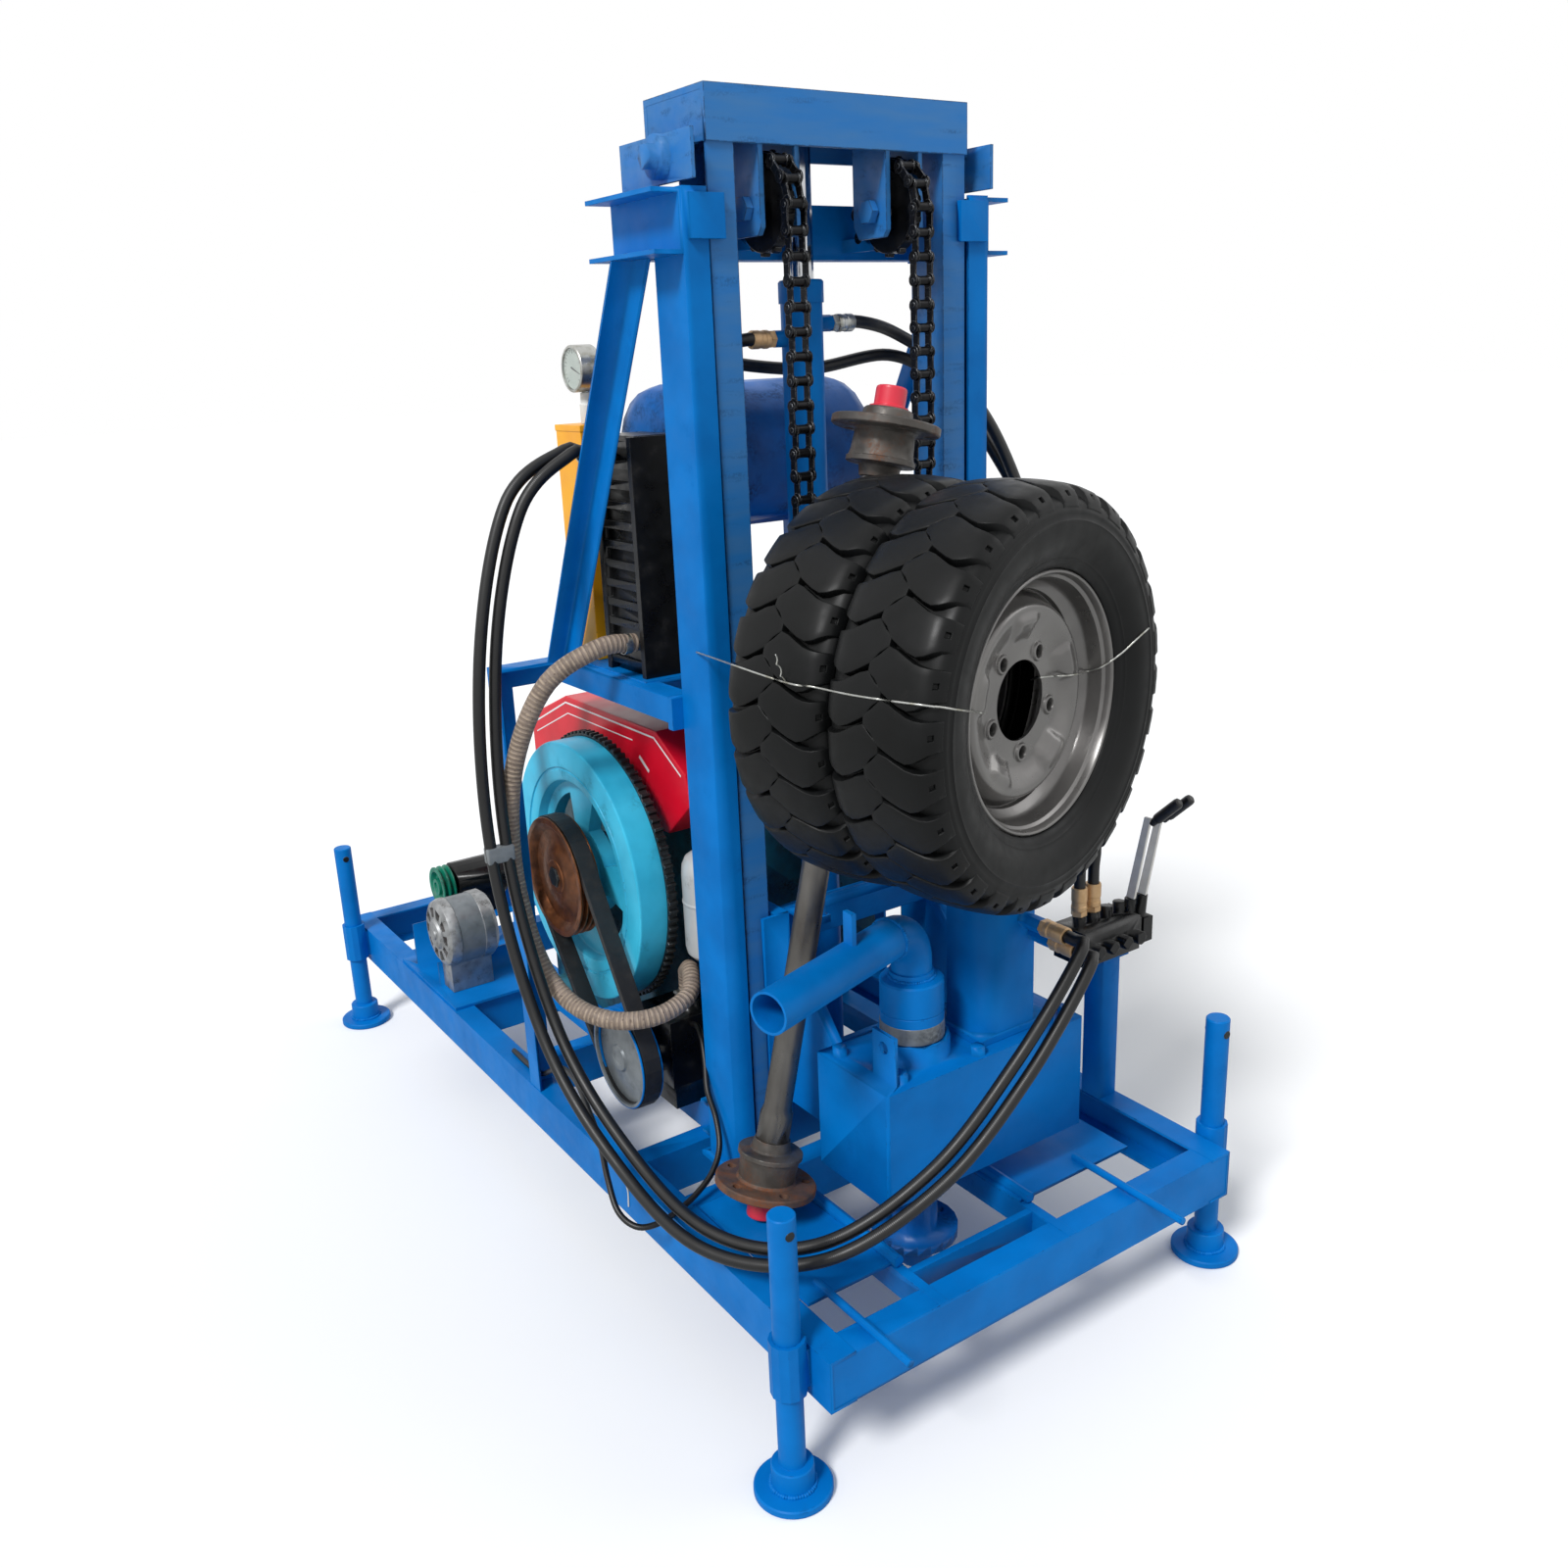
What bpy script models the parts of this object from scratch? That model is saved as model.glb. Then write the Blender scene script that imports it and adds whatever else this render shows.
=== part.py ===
# Portable hydraulic water well drilling rig, parked on its four jack legs.
# Metres, +Z up. X runs across the rig, -Y is the drilling side, the floor is z = 0.
# The pieces are placed from the middle of the base frame; at the end the whole rig moves by
# MIDDLE_Y, so that the origin is on the floor under the middle of its outline.

import bpy
import bmesh
from math import sin, cos, pi, tau, radians, sqrt, atan2
from mathutils import Vector, Matrix

for old in list(bpy.data.objects):
    bpy.data.objects.remove(old, do_unlink=True)

GAP = 0.0003  # between pieces that touch
MIDDLE_Y = 0.0465  # from the middle of the outline to the middle of the base frame

# Base frame of rolled channel
FRAME_W = 0.80
FRAME_L = 1.92
RAIL_Z = 0.150
RAIL_H = 0.080
RAIL_FLANGE = 0.043
RAIL_T = 0.005
RAIL_TOP = RAIL_Z + RAIL_H
HOLE_X = -0.078
HOLE_Y = -0.770
HOLE_W = 0.226
HOLE_L = 0.200
BEARER_X = 0.205  # engine bearers

# Jack legs
LEG_R = 0.019
LEG_TOP = 0.437
LEG_OUT = 0.0265  # from the rail's face to the leg's axis
LEG_FRONT = 0.058  # from the frame's end to the leg's axis
LEG_REAR = 0.089
COLLAR_WALL = 0.006
COLLAR_CLEAR = 0.0005
COLLAR_Z = 0.163
COLLAR_H = 0.084
FOOT_R = 0.055
FOOT_T = 0.012
SOCKET_R = 0.030
SOCKET_H = 0.034

# Mast
MAST_Y = -0.530  # front face of the outer columns
COL_D = 0.080
OUTER_X = 0.2635  # outer face of the outer columns
OUTER_FLANGE = 0.0375
COL_T = 0.005
OUTER_TOP = 1.690
SLOT = 0.005
INNER_X = 0.179  # inner face of the inner columns
INNER_SET = 0.004  # inner columns are this much thinner at front and back
INNER_BOTTOM = 0.262
BEAM_Z = 1.744
BEAM_H = 0.069
BEAM_D = 0.155
BEAM_T = 0.008
STUB_H = 0.080
STUB_FLANGE = 0.043
STUB_BACK = -0.345
TIE_Y = -0.390
STROKE = 0.86

# Lift cylinder
CYL_Y = -0.415
CYL_R = 0.0315
CYL_BORE = 0.0245
CYL_BOTTOM = 0.245
CYL_TOP = 1.581
GLAND_R = 0.034
GLAND_H = 0.032
ROD_R = 0.020
ROD_CLEAR = 0.0004

# Sprockets and chains
SPROCKET_X = 0.1095
SPROCKET_Y = -0.495
SPROCKET_Z = 1.667
PITCH_R = 0.065
CHAIN_W = 0.034
CHAIN_T = 0.018
CHAIN_PITCH = 0.03175
CHAIN_END_Z = 0.705
AXLE_BOLT_R = 0.010

# Drill head
HEAD_X = 0.194
HEAD_FRONT = -0.830
HEAD_BACK = -0.660
HEAD_Z = 0.300
HEAD_H = 0.185
HEAD_TOP = HEAD_Z + HEAD_H
HEAD_MID_Y = (HEAD_FRONT + HEAD_BACK) / 2
SPINDLE_X = -0.078
MOTOR_X = 0.078
MOTOR_W = 0.130
MOTOR_D = 0.110
MOTOR_TOP = 0.8073
FLANGE_R = 0.067
FLANGE_Z = 0.172
FLANGE_T = 0.016
THREAD_R = 0.0265
THREAD_BOTTOM = 0.122
PIPE_R = 0.030
PIPE_WALL = 0.004
PIPE_Z = 0.685
CARRIAGE_Z = 0.330
CARRIAGE_TOP = 0.660

# Stowed road wheels and axle
TYRE_R = 0.2725
TYRE_W = 0.162
TREAD_DEPTH = 0.013
LUGS = 18
BEAD_R = 0.168
WHEEL_FACE = Vector((-0.046, -1.000, 1.053))
WHEEL_TURN = radians(12.9)
AXLE_LOW = Vector((-0.300, -0.650, 0.2402))
AXLE_HIGH = Vector((0.004, -0.620, 1.430))
AXLE_R = 0.0215
HUB_R = 0.077
CUP_R = 0.043

# Engine
ENGINE_Y = -0.090
FLY_X = -0.308
FLY_T = 0.068
FLY_Y = -0.120
FLY_Z = 0.642
FLY_R = 0.234
RING_TEETH = 56
DRIVE_R = 0.105  # belt pulley on the flywheel
PUMP_Y = -0.312
PUMP_Z = 0.378
PUMP_R = 0.086
BELT_W = 0.038
BELT_T = 0.009

# Upper frame
POST_X = 0.380
POST_Y = -0.070
DECK_Z = 0.965
ANGLE = 0.040
ANGLE_T = 0.005
BRACE_X = 0.276


# ---------------------------------------------------------------- shapes

def linear(code):
    def channel(value):
        value /= 255
        return value / 12.92 if value <= 0.04045 else ((value + 0.055) / 1.055) ** 2.4
    return [channel(int(code[i:i + 2], 16)) for i in (1, 3, 5)] + [1.0]


PAINTS = {}


def paint(name, code, roughness, metallic):
    mat = bpy.data.materials.new(name)
    mat.use_nodes = True
    shader = mat.node_tree.nodes["Principled BSDF"]
    shader.inputs["Base Color"].default_value = linear(code)
    shader.inputs["Roughness"].default_value = roughness
    shader.inputs["Metallic"].default_value = metallic
    PAINTS[name] = mat


for name, code, roughness, metallic in (
        ("blue_paint", "#0E6FC4", 0.32, 0.0),
        ("dark_blue_paint", "#0A3F77", 0.40, 0.0),
        ("red_paint", "#E0102E", 0.28, 0.0),
        ("turquoise_paint", "#3DB8D6", 0.35, 0.0),
        ("teal_paint", "#0E5A6B", 0.40, 0.0),
        ("grey_paint", "#BDBDBD", 0.45, 0.0),
        ("orange_paint", "#FDB515", 0.40, 0.0),
        ("green_paint", "#00876A", 0.40, 0.0),
        ("black_paint", "#0C0D0F", 0.45, 0.0),
        ("black_steel", "#17181A", 0.40, 0.8),
        ("bright_steel", "#B8BBBE", 0.25, 1.0),
        ("cast_iron", "#6B6864", 0.60, 0.7),
        ("copper", "#9A5B33", 0.40, 0.9),
        ("aluminium", "#A9ADB0", 0.40, 0.9),
        ("rim_silver", "#8E8F90", 0.30, 0.8),
        ("tyre_rubber", "#101113", 0.75, 0.0),
        ("hose_rubber", "#0A0A0B", 0.45, 0.0),
        ("braided_hose", "#8A7A6C", 0.80, 0.0),
        ("cap_red", "#E33A4B", 0.35, 0.0)):
    paint(name, code, roughness, metallic)


def finish(bm):
    bmesh.ops.remove_doubles(bm, verts=bm.verts, dist=1e-6)
    bmesh.ops.recalc_face_normals(bm, faces=bm.faces)
    mesh = bpy.data.meshes.new("shape")
    bm.to_mesh(mesh)
    bm.free()
    return mesh


def frame_of(axis, spin=0.0):
    # a turn that takes local Z to the given direction
    direction = Vector(axis).normalized()
    return direction.to_track_quat("Z", "Y").to_matrix() @ Matrix.Rotation(spin, 3, "Z")


def placed(mesh, at=(0, 0, 0), turn=None):
    matrix = Matrix.Translation(Vector(at))
    if turn is not None:
        matrix = matrix @ turn.to_4x4()
    mesh.transform(matrix)
    return mesh


def box(x0, x1, y0, y1, z0, z1):
    bm = bmesh.new()
    bmesh.ops.create_cube(bm, size=1.0)
    for v in bm.verts:
        v.co = Vector((x0 if v.co.x < 0 else x1, y0 if v.co.y < 0 else y1, z0 if v.co.z < 0 else z1))
    return finish(bm)


def prism(outline, low, high, axis="Z"):
    # outline is in the two other axes, in the order X, Y, Z
    def point(u, v, w):
        return {"X": (w, u, v), "Y": (u, w, v), "Z": (u, v, w)}[axis]
    bm = bmesh.new()
    a = [bm.verts.new(point(u, v, low)) for u, v in outline]
    b = [bm.verts.new(point(u, v, high)) for u, v in outline]
    bm.faces.new(a)
    bm.faces.new(b)
    count = len(outline)
    for i in range(count):
        j = (i + 1) % count
        bm.faces.new((a[i], a[j], b[j], b[i]))
    return finish(bm)


def turned(profile, count=32, closed=False):
    # profile of (radius, height), turned about Z; a point at radius 0 closes an end
    bm = bmesh.new()
    rings = []
    for radius, height in profile:
        if radius < 1e-9:
            rings.append([bm.verts.new((0, 0, height))])
        else:
            rings.append([bm.verts.new((radius * cos(tau * i / count), radius * sin(tau * i / count), height))
                          for i in range(count)])
    pairs = list(zip(rings, rings[1:]))
    if closed:
        pairs.append((rings[-1], rings[0]))
    for a, b in pairs:
        for i in range(count):
            j = (i + 1) % count
            corners = [a[i % len(a)], a[j % len(a)], b[j % len(b)], b[i % len(b)]]
            unique = []
            for v in corners:
                if v not in unique:
                    unique.append(v)
            if len(unique) > 2:
                bm.faces.new(unique)
    return finish(bm)


def rod(start, end, radius, count=20):
    start, end = Vector(start), Vector(end)
    length = (end - start).length
    mesh = turned([(0, 0), (radius, 0), (radius, length), (0, length)], count)
    return placed(mesh, start, frame_of(end - start))


def pipe(start, end, outer, inner, count=24):
    start, end = Vector(start), Vector(end)
    length = (end - start).length
    mesh = turned([(inner, 0), (outer, 0), (outer, length), (inner, length)], count, closed=True)
    return placed(mesh, start, frame_of(end - start))


def hexagon(at, axis, across, height):
    radius = across / sqrt(3)
    outline = [(radius * cos(tau * i / 6), radius * sin(tau * i / 6)) for i in range(6)]
    return placed(prism(outline, 0, height), at, frame_of(axis))


def channel_outline(depth, flange, wall):
    # web on u = 0, flanges towards +u, depth along v
    return [(0, 0), (flange, 0), (flange, wall), (wall, wall), (wall, depth - wall), (flange, depth - wall),
            (flange, depth), (0, depth)]


def mirrored(outline, about=0.0):
    return [(2 * about - u, v) for u, v in reversed(outline)]


def moved(outline, du, dv):
    return [(u + du, v + dv) for u, v in outline]


def swapped(outline):
    return [(v, u) for u, v in outline]


def angle_outline(size, wall):
    return [(0, 0), (size, 0), (size, wall), (wall, wall), (wall, size), (0, size)]


def temp(mesh):
    ob = bpy.data.objects.new("shape", mesh)
    bpy.context.scene.collection.objects.link(ob)
    return ob


def boolean(mesh, others, operation):
    if not others:
        return mesh
    base = temp(mesh)
    group = bpy.data.collections.new("operands")
    bpy.context.scene.collection.children.link(group)
    tools = []
    for other in others:
        tool = bpy.data.objects.new("shape", other)
        group.objects.link(tool)
        tools.append(tool)
    mod = base.modifiers.new("join", "BOOLEAN")
    mod.operation = operation
    mod.operand_type = "COLLECTION"
    mod.collection = group
    mod.solver = "EXACT"
    graph = bpy.context.evaluated_depsgraph_get()
    result = bpy.data.meshes.new_from_object(base.evaluated_get(graph))
    for ob in tools + [base]:
        bpy.data.objects.remove(ob, do_unlink=True)
    bpy.data.collections.remove(group)
    bm = bmesh.new()
    bm.from_mesh(result)
    bmesh.ops.remove_doubles(bm, verts=bm.verts, dist=2e-6)
    bmesh.ops.dissolve_degenerate(bm, edges=bm.edges, dist=2e-6)
    bmesh.ops.dissolve_limit(bm, angle_limit=radians(0.03), verts=bm.verts, edges=bm.edges)
    bmesh.ops.triangulate(bm, faces=[f for f in bm.faces if len(f.verts) > 4])
    bm.to_mesh(result)
    bm.free()
    return result


def union(*meshes):
    return boolean(meshes[0], list(meshes[1:]), "UNION")


def cut(mesh, *others):
    return boolean(mesh, list(others), "DIFFERENCE")


def node(name, mesh, finish_name, origin=(0, 0, 0), parent=None, smooth=30):
    origin = Vector(origin)
    mesh.transform(Matrix.Translation(-origin))
    mesh.name = name
    mesh.materials.clear()
    mesh.materials.append(PAINTS[finish_name])
    ob = bpy.data.objects.new(name, mesh)
    bpy.context.scene.collection.objects.link(ob)
    if parent is None:
        ob.location = origin
    else:
        ob.parent = parent
        ob.location = origin - parent.matrix_world.translation
    if smooth:
        mesh.shade_smooth()
        mesh.set_sharp_from_angle(angle=radians(smooth))
    return ob


def joint(name, at, parent=None):
    empty = bpy.data.objects.new(name, None)
    bpy.context.scene.collection.objects.link(empty)
    empty.matrix_world = Matrix.Translation(Vector(at))
    if parent is not None:
        empty.parent = parent
        empty.location = Vector(at) - parent.matrix_world.translation
    bpy.context.view_layer.update()
    return empty


# ---------------------------------------------------------------- base frame

HALF_W = FRAME_W / 2
HALF_L = FRAME_L / 2
rail = channel_outline(RAIL_H, RAIL_FLANGE, RAIL_T)
HOLE_X0, HOLE_X1 = HOLE_X - HOLE_W / 2, HOLE_X + HOLE_W / 2
HOLE_Y0, HOLE_Y1 = HOLE_Y - HOLE_L / 2, HOLE_Y + HOLE_L / 2

frame_parts = []
# long rails, webs outward; outline in X and Z, run along Y
long_rail = moved(rail, -HALF_W, RAIL_Z)
frame_parts.append(prism(long_rail, -HALF_L, HALF_L, "Y"))
frame_parts.append(prism(mirrored(long_rail), -HALF_L, HALF_L, "Y"))
# end rails, webs outward; outline in Y and Z, run along X
end_rail = moved(rail, -HALF_L + 0.001, RAIL_Z + 0.0006)
end_rail = [(u, min(v, RAIL_TOP - 0.0006)) for u, v in end_rail]
frame_parts.append(prism(end_rail, -HALF_W + 0.002, HALF_W - 0.002, "X"))
frame_parts.append(prism(mirrored(end_rail), -HALF_W + 0.002, HALF_W - 0.002, "X"))
# cross members: y of the web, which way the flanges point
for y, way in ((-0.560, 1), (-0.400, 1), (0.020, 1), (0.330, 1), (0.640, 1)):
    member = moved(channel_outline(RAIL_H - 0.004, 0.040, RAIL_T), 0, RAIL_Z + 0.002)
    member = [(y + way * u, v) for u, v in member]
    if way < 0:
        member.reverse()
    frame_parts.append(prism(member, -HALF_W + 0.003, HALF_W - 0.003, "X"))
# bars along Y beside the drill hole, from the front rail to the first cross member
for x in (HOLE_X0 - 0.020, HOLE_X1 + 0.004):
    frame_parts.append(box(x, x + 0.016, -HALF_L + 0.003, -0.557, RAIL_TOP - 0.042, RAIL_TOP))
# lip along X in front of the hole
frame_parts.append(box(HOLE_X0 - 0.006, HOLE_X1 + 0.006, HOLE_Y0 - 0.012, HOLE_Y0, RAIL_TOP - 0.042, RAIL_TOP - 0.001))
# engine bearers along Y
for x in (-BEARER_X, BEARER_X):
    frame_parts.append(box(x - 0.022, x + 0.022, -0.398, 0.310, RAIL_TOP - 0.004, RAIL_TOP + 0.046))
# collars that guide the legs
LEGS = (("front_left", -1, -HALF_L + LEG_FRONT), ("front_right", 1, -HALF_L + LEG_FRONT),
        ("rear_left", -1, HALF_L - LEG_REAR), ("rear_right", 1, HALF_L - LEG_REAR))
collar_r = LEG_R + COLLAR_CLEAR + COLLAR_WALL
frame_bores = []
for name, side, y in LEGS:
    x = side * (HALF_W + LEG_OUT)
    frame_parts.append(rod((x, y, COLLAR_Z), (x, y, COLLAR_Z + COLLAR_H), collar_r, 12))
    inner_x = side * (HALF_W - 0.002)
    frame_parts.append(box(min(inner_x, x), max(inner_x, x), y - 0.014, y + 0.014, COLLAR_Z + 0.004, RAIL_TOP - 0.004))
    frame_bores.append(rod((x, y, COLLAR_Z - 0.01), (x, y, COLLAR_Z + COLLAR_H + 0.01), LEG_R + COLLAR_CLEAR, 12))
base = cut(union(*frame_parts), *frame_bores)
node("base_frame", base, "blue_paint")

# deck plates beside the drill hole, each with its pull rod
DECK_T = 0.005
DECK_PLATES = (("deck_plate_left", -0.356, HOLE_X0 - 0.001, -0.852, -0.565, -0.322, -1.030),
               ("deck_plate_right", HOLE_X1 + 0.004, 0.278, -0.855, -0.565, 0.186, -1.044))
for name, x0, x1, y0, y1, rod_x, rod_end in DECK_PLATES:
    z0 = RAIL_TOP + GAP
    plate = box(x0, x1, y0, y1, z0, z0 + DECK_T)
    pull = rod((rod_x, y0 + 0.030, z0 + 0.008), (rod_x, rod_end, z0 + 0.008), 0.006, 8)
    eye_x = x1 - 0.012 if rod_x < 0 else x0 + 0.012
    hinge = rod((eye_x, y0 - 0.010, z0 + 0.009), (eye_x, y1, z0 + 0.009), 0.009, 8)
    node(name, union(plate, pull, hinge), "blue_paint")

# jack legs
for name, side, y in LEGS:
    x = side * (HALF_W + LEG_OUT)
    leg_joint = joint("leg_" + name, (x, y, COLLAR_Z))
    leg = turned([(0, 0), (FOOT_R - 0.003, 0), (FOOT_R, 0.003), (FOOT_R, FOOT_T - 0.002), (FOOT_R - 0.002, FOOT_T),
                  (SOCKET_R, FOOT_T), (SOCKET_R, FOOT_T + SOCKET_H), (LEG_R, FOOT_T + SOCKET_H),
                  (LEG_R, LEG_TOP - 0.002), (LEG_R - 0.002, LEG_TOP), (0, LEG_TOP)], 12)
    placed(leg, (x, y, 0))
    hole = rod((x, y - 0.04, LEG_TOP - 0.024), (x, y + 0.04, LEG_TOP - 0.024), 0.007, 6)
    node("jack_leg_" + name, cut(leg, hole), "blue_paint", (x, y, COLLAR_Z), leg_joint)

# ---------------------------------------------------------------- mast

COL_BACK = MAST_Y + COL_D
STUB_Z = OUTER_TOP - STUB_H - 0.002
outer = []
outer_outline = moved(channel_outline(COL_D, OUTER_FLANGE, COL_T), -OUTER_X, MAST_Y)
tie = channel_outline(STUB_H - 0.004, 0.040, COL_T)
for side in (-1, 1):
    outline = outer_outline if side < 0 else mirrored(outer_outline)
    outer.append(prism(outline, RAIL_TOP + GAP, OUTER_TOP, "Z"))
    # foot plate
    x0, x1 = sorted((side * (OUTER_X + 0.010), side * (OUTER_X - OUTER_FLANGE + 0.002)))
    outer.append(box(x0, x1, MAST_Y - 0.006, COL_BACK + 0.012, RAIL_TOP + GAP, RAIL_TOP + GAP + 0.008))
    # channel stub on the column's outer face
    stub = moved(channel_outline(STUB_H, STUB_FLANGE + 0.002, 0.006), OUTER_X - 0.0015, STUB_Z)
    stub = stub if side > 0 else mirrored(stub)
    outer.append(prism(stub, MAST_Y + 0.003, STUB_BACK, "Y"))
    # keeper plate that holds the inner column from the front
    x0, x1 = sorted((side * 0.204, side * 0.2575))
    outer.append(box(x0, x1, MAST_Y - 0.008, MAST_Y + 0.001, 1.626, 1.682))
# rear tie between the stubs, web to the front
rear_tie = moved(tie, TIE_Y, STUB_Z + 0.002)
outer.append(prism(rear_tie, -OUTER_X - 0.002, OUTER_X + 0.002, "X"))
# lower rear tie
low_tie = moved(channel_outline(0.060, 0.030, COL_T), COL_BACK - 0.003, 0.262)
outer.append(prism(low_tie, -OUTER_X + 0.002, OUTER_X - 0.002, "X"))
# lugs on the rear tie where the chains end
for side in (-1, 1):
    x = side * SPROCKET_X
    outer.append(box(x - 0.012, x + 0.012, SPROCKET_Y + PITCH_R - 0.008, TIE_Y + 0.002, STUB_Z + 0.012, STUB_Z + 0.030))
# seat of the lift cylinder on the lower tie
outer.append(box(-0.045, 0.045, COL_BACK - 0.001, CYL_Y + CYL_R + 0.010, CYL_BOTTOM - 0.0123, CYL_BOTTOM - GAP))
outer.append(box(-0.045, 0.045, COL_BACK - 0.002, COL_BACK + 0.010, CYL_BOTTOM - 0.0123, 0.270))
outer_mast = union(*outer)
relief = rod((0, CYL_Y, CYL_BOTTOM - GAP), (0, CYL_Y, 0.60), CYL_R + 0.001, 16)
node("outer_mast", cut(outer_mast, relief), "blue_paint")

lift = joint("mast_lift", (0, CYL_Y, CYL_TOP))
inner = []
inner_outline = moved(channel_outline(COL_D - 2 * INNER_SET, OUTER_X - OUTER_FLANGE - SLOT - INNER_X, COL_T),
                      INNER_X, MAST_Y + INNER_SET)
for side in (-1, 1):
    outline = inner_outline if side > 0 else mirrored(inner_outline)
    inner.append(prism(outline, INNER_BOTTOM, BEAM_Z + 0.010, "Z"))
BEAM_X = OUTER_X - OUTER_FLANGE - SLOT + 0.002
BEAM_BACK = MAST_Y + BEAM_D
BEAM_TOP = BEAM_Z + BEAM_H
beam = [(MAST_Y, BEAM_Z), (MAST_Y + BEAM_T, BEAM_Z), (MAST_Y + BEAM_T, BEAM_TOP - BEAM_T),
        (BEAM_BACK - BEAM_T, BEAM_TOP - BEAM_T), (BEAM_BACK - BEAM_T, BEAM_Z), (BEAM_BACK, BEAM_Z),
        (BEAM_BACK, BEAM_TOP), (MAST_Y, BEAM_TOP)]
inner.append(prism(beam, -BEAM_X, BEAM_X, "X"))
for side in (-1, 1):
    x0, x1 = sorted((side * (BEAM_X - 0.008), side * (BEAM_X - 0.0005)))
    inner.append(box(x0, x1, MAST_Y + 0.002, BEAM_BACK - 0.002, BEAM_Z + 0.001, BEAM_TOP - 0.002))
    # hangers of the sprocket, one on each side of it
    for x in (SPROCKET_X - CHAIN_W / 2 - 0.0145, SPROCKET_X + CHAIN_W / 2 + 0.0105):
        x0, x1 = sorted((side * (x - 0.004), side * (x + 0.004)))
        hanger = [(MAST_Y + 0.004, BEAM_TOP - 0.004), (MAST_Y + 0.004, 1.642), (MAST_Y + 0.012, 1.632),
                  (-0.462, 1.632), (-0.450, 1.650), (-0.450, BEAM_TOP - 0.004)]
        inner.append(prism(hanger, x0, x1, "X"))
    # side plate with the big washer and bolt
    x0, x1 = sorted((side * 0.252, side * 0.257))
    inner.append(box(x0, x1, -0.548, -0.362, OUTER_TOP + 0.007, 1.757))
    inner.append(rod((side * 0.215, -0.470, 1.730), (side * 0.262, -0.470, 1.730), 0.013, 8))
    inner.append(rod((side * 0.256, -0.470, 1.730), (side * 0.268, -0.470, 1.730), 0.028, 14))
    inner.append(hexagon((side * 0.267, -0.470, 1.730), (side, 0, 0), 0.030, 0.014))
    inner.append(box(*sorted((side * 0.216, side * 0.254)), -0.500, -0.440, 1.744, 1.754))
inner_mast = union(*inner)
bolt_holes = [rod((side * 0.05, SPROCKET_Y, SPROCKET_Z), (side * 0.17, SPROCKET_Y, SPROCKET_Z),
                  AXLE_BOLT_R + GAP, 8) for side in (-1, 1)]
node("inner_mast", cut(inner_mast, *bolt_holes), "blue_paint", (0, CYL_Y, CYL_TOP), lift)

# lift cylinder: barrel, gland and the rod that pushes the top beam
barrel = turned([(0, CYL_BOTTOM), (CYL_R, CYL_BOTTOM), (CYL_R, CYL_TOP - GLAND_H), (GLAND_R, CYL_TOP - GLAND_H),
                 (GLAND_R, CYL_TOP - 0.003), (GLAND_R - 0.003, CYL_TOP), (ROD_R + ROD_CLEAR, CYL_TOP),
                 (ROD_R + ROD_CLEAR, CYL_TOP - GLAND_H), (CYL_BORE, CYL_TOP - GLAND_H),
                 (CYL_BORE, CYL_BOTTOM + 0.020), (0, CYL_BOTTOM + 0.020)], 16)
placed(barrel, (0, CYL_Y, 0))
PORTS = ((1, 1.520), (-1, 1.500))
ports = [rod((side * 0.028, CYL_Y, z), (side * 0.052, CYL_Y, z), 0.012, 8) for side, z in PORTS]
node("lift_cylinder", union(barrel, *ports), "blue_paint", (0, CYL_Y, CYL_BOTTOM))
ram = rod((0, CYL_Y, CYL_BOTTOM + 0.030), (0, CYL_Y, BEAM_TOP - BEAM_T - GAP), ROD_R, 16)
node("cylinder_rod", ram, "bright_steel", (0, CYL_Y, CYL_TOP), lift)


def chain_strip(path, closed_ends=True):
    # path of (point, outward direction, across direction); width and thickness step along each link
    bm = bmesh.new()
    rings = []
    for point, out, across, half_w, half_t in path:
        rings.append([bm.verts.new(point + across * (su * half_w) + out * (sv * half_t))
                      for su, sv in ((-1, -1), (1, -1), (1, 1), (-1, 1))])
    for a, b in zip(rings, rings[1:]):
        for i in range(4):
            j = (i + 1) % 4
            bm.faces.new((a[i], a[j], b[j], b[i]))
    bm.faces.new(rings[0])
    bm.faces.new(rings[-1])
    return finish(bm)


def link_sizes(count):
    # wide outer link, then narrow inner link, two sections in each
    for i in range(count):
        wide = 1.0 if i % 2 == 0 else 0.66
        for at, w, t in ((0.14, wide, 1.0), (0.86, wide, 1.0)):
            yield i + at, w, t


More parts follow.
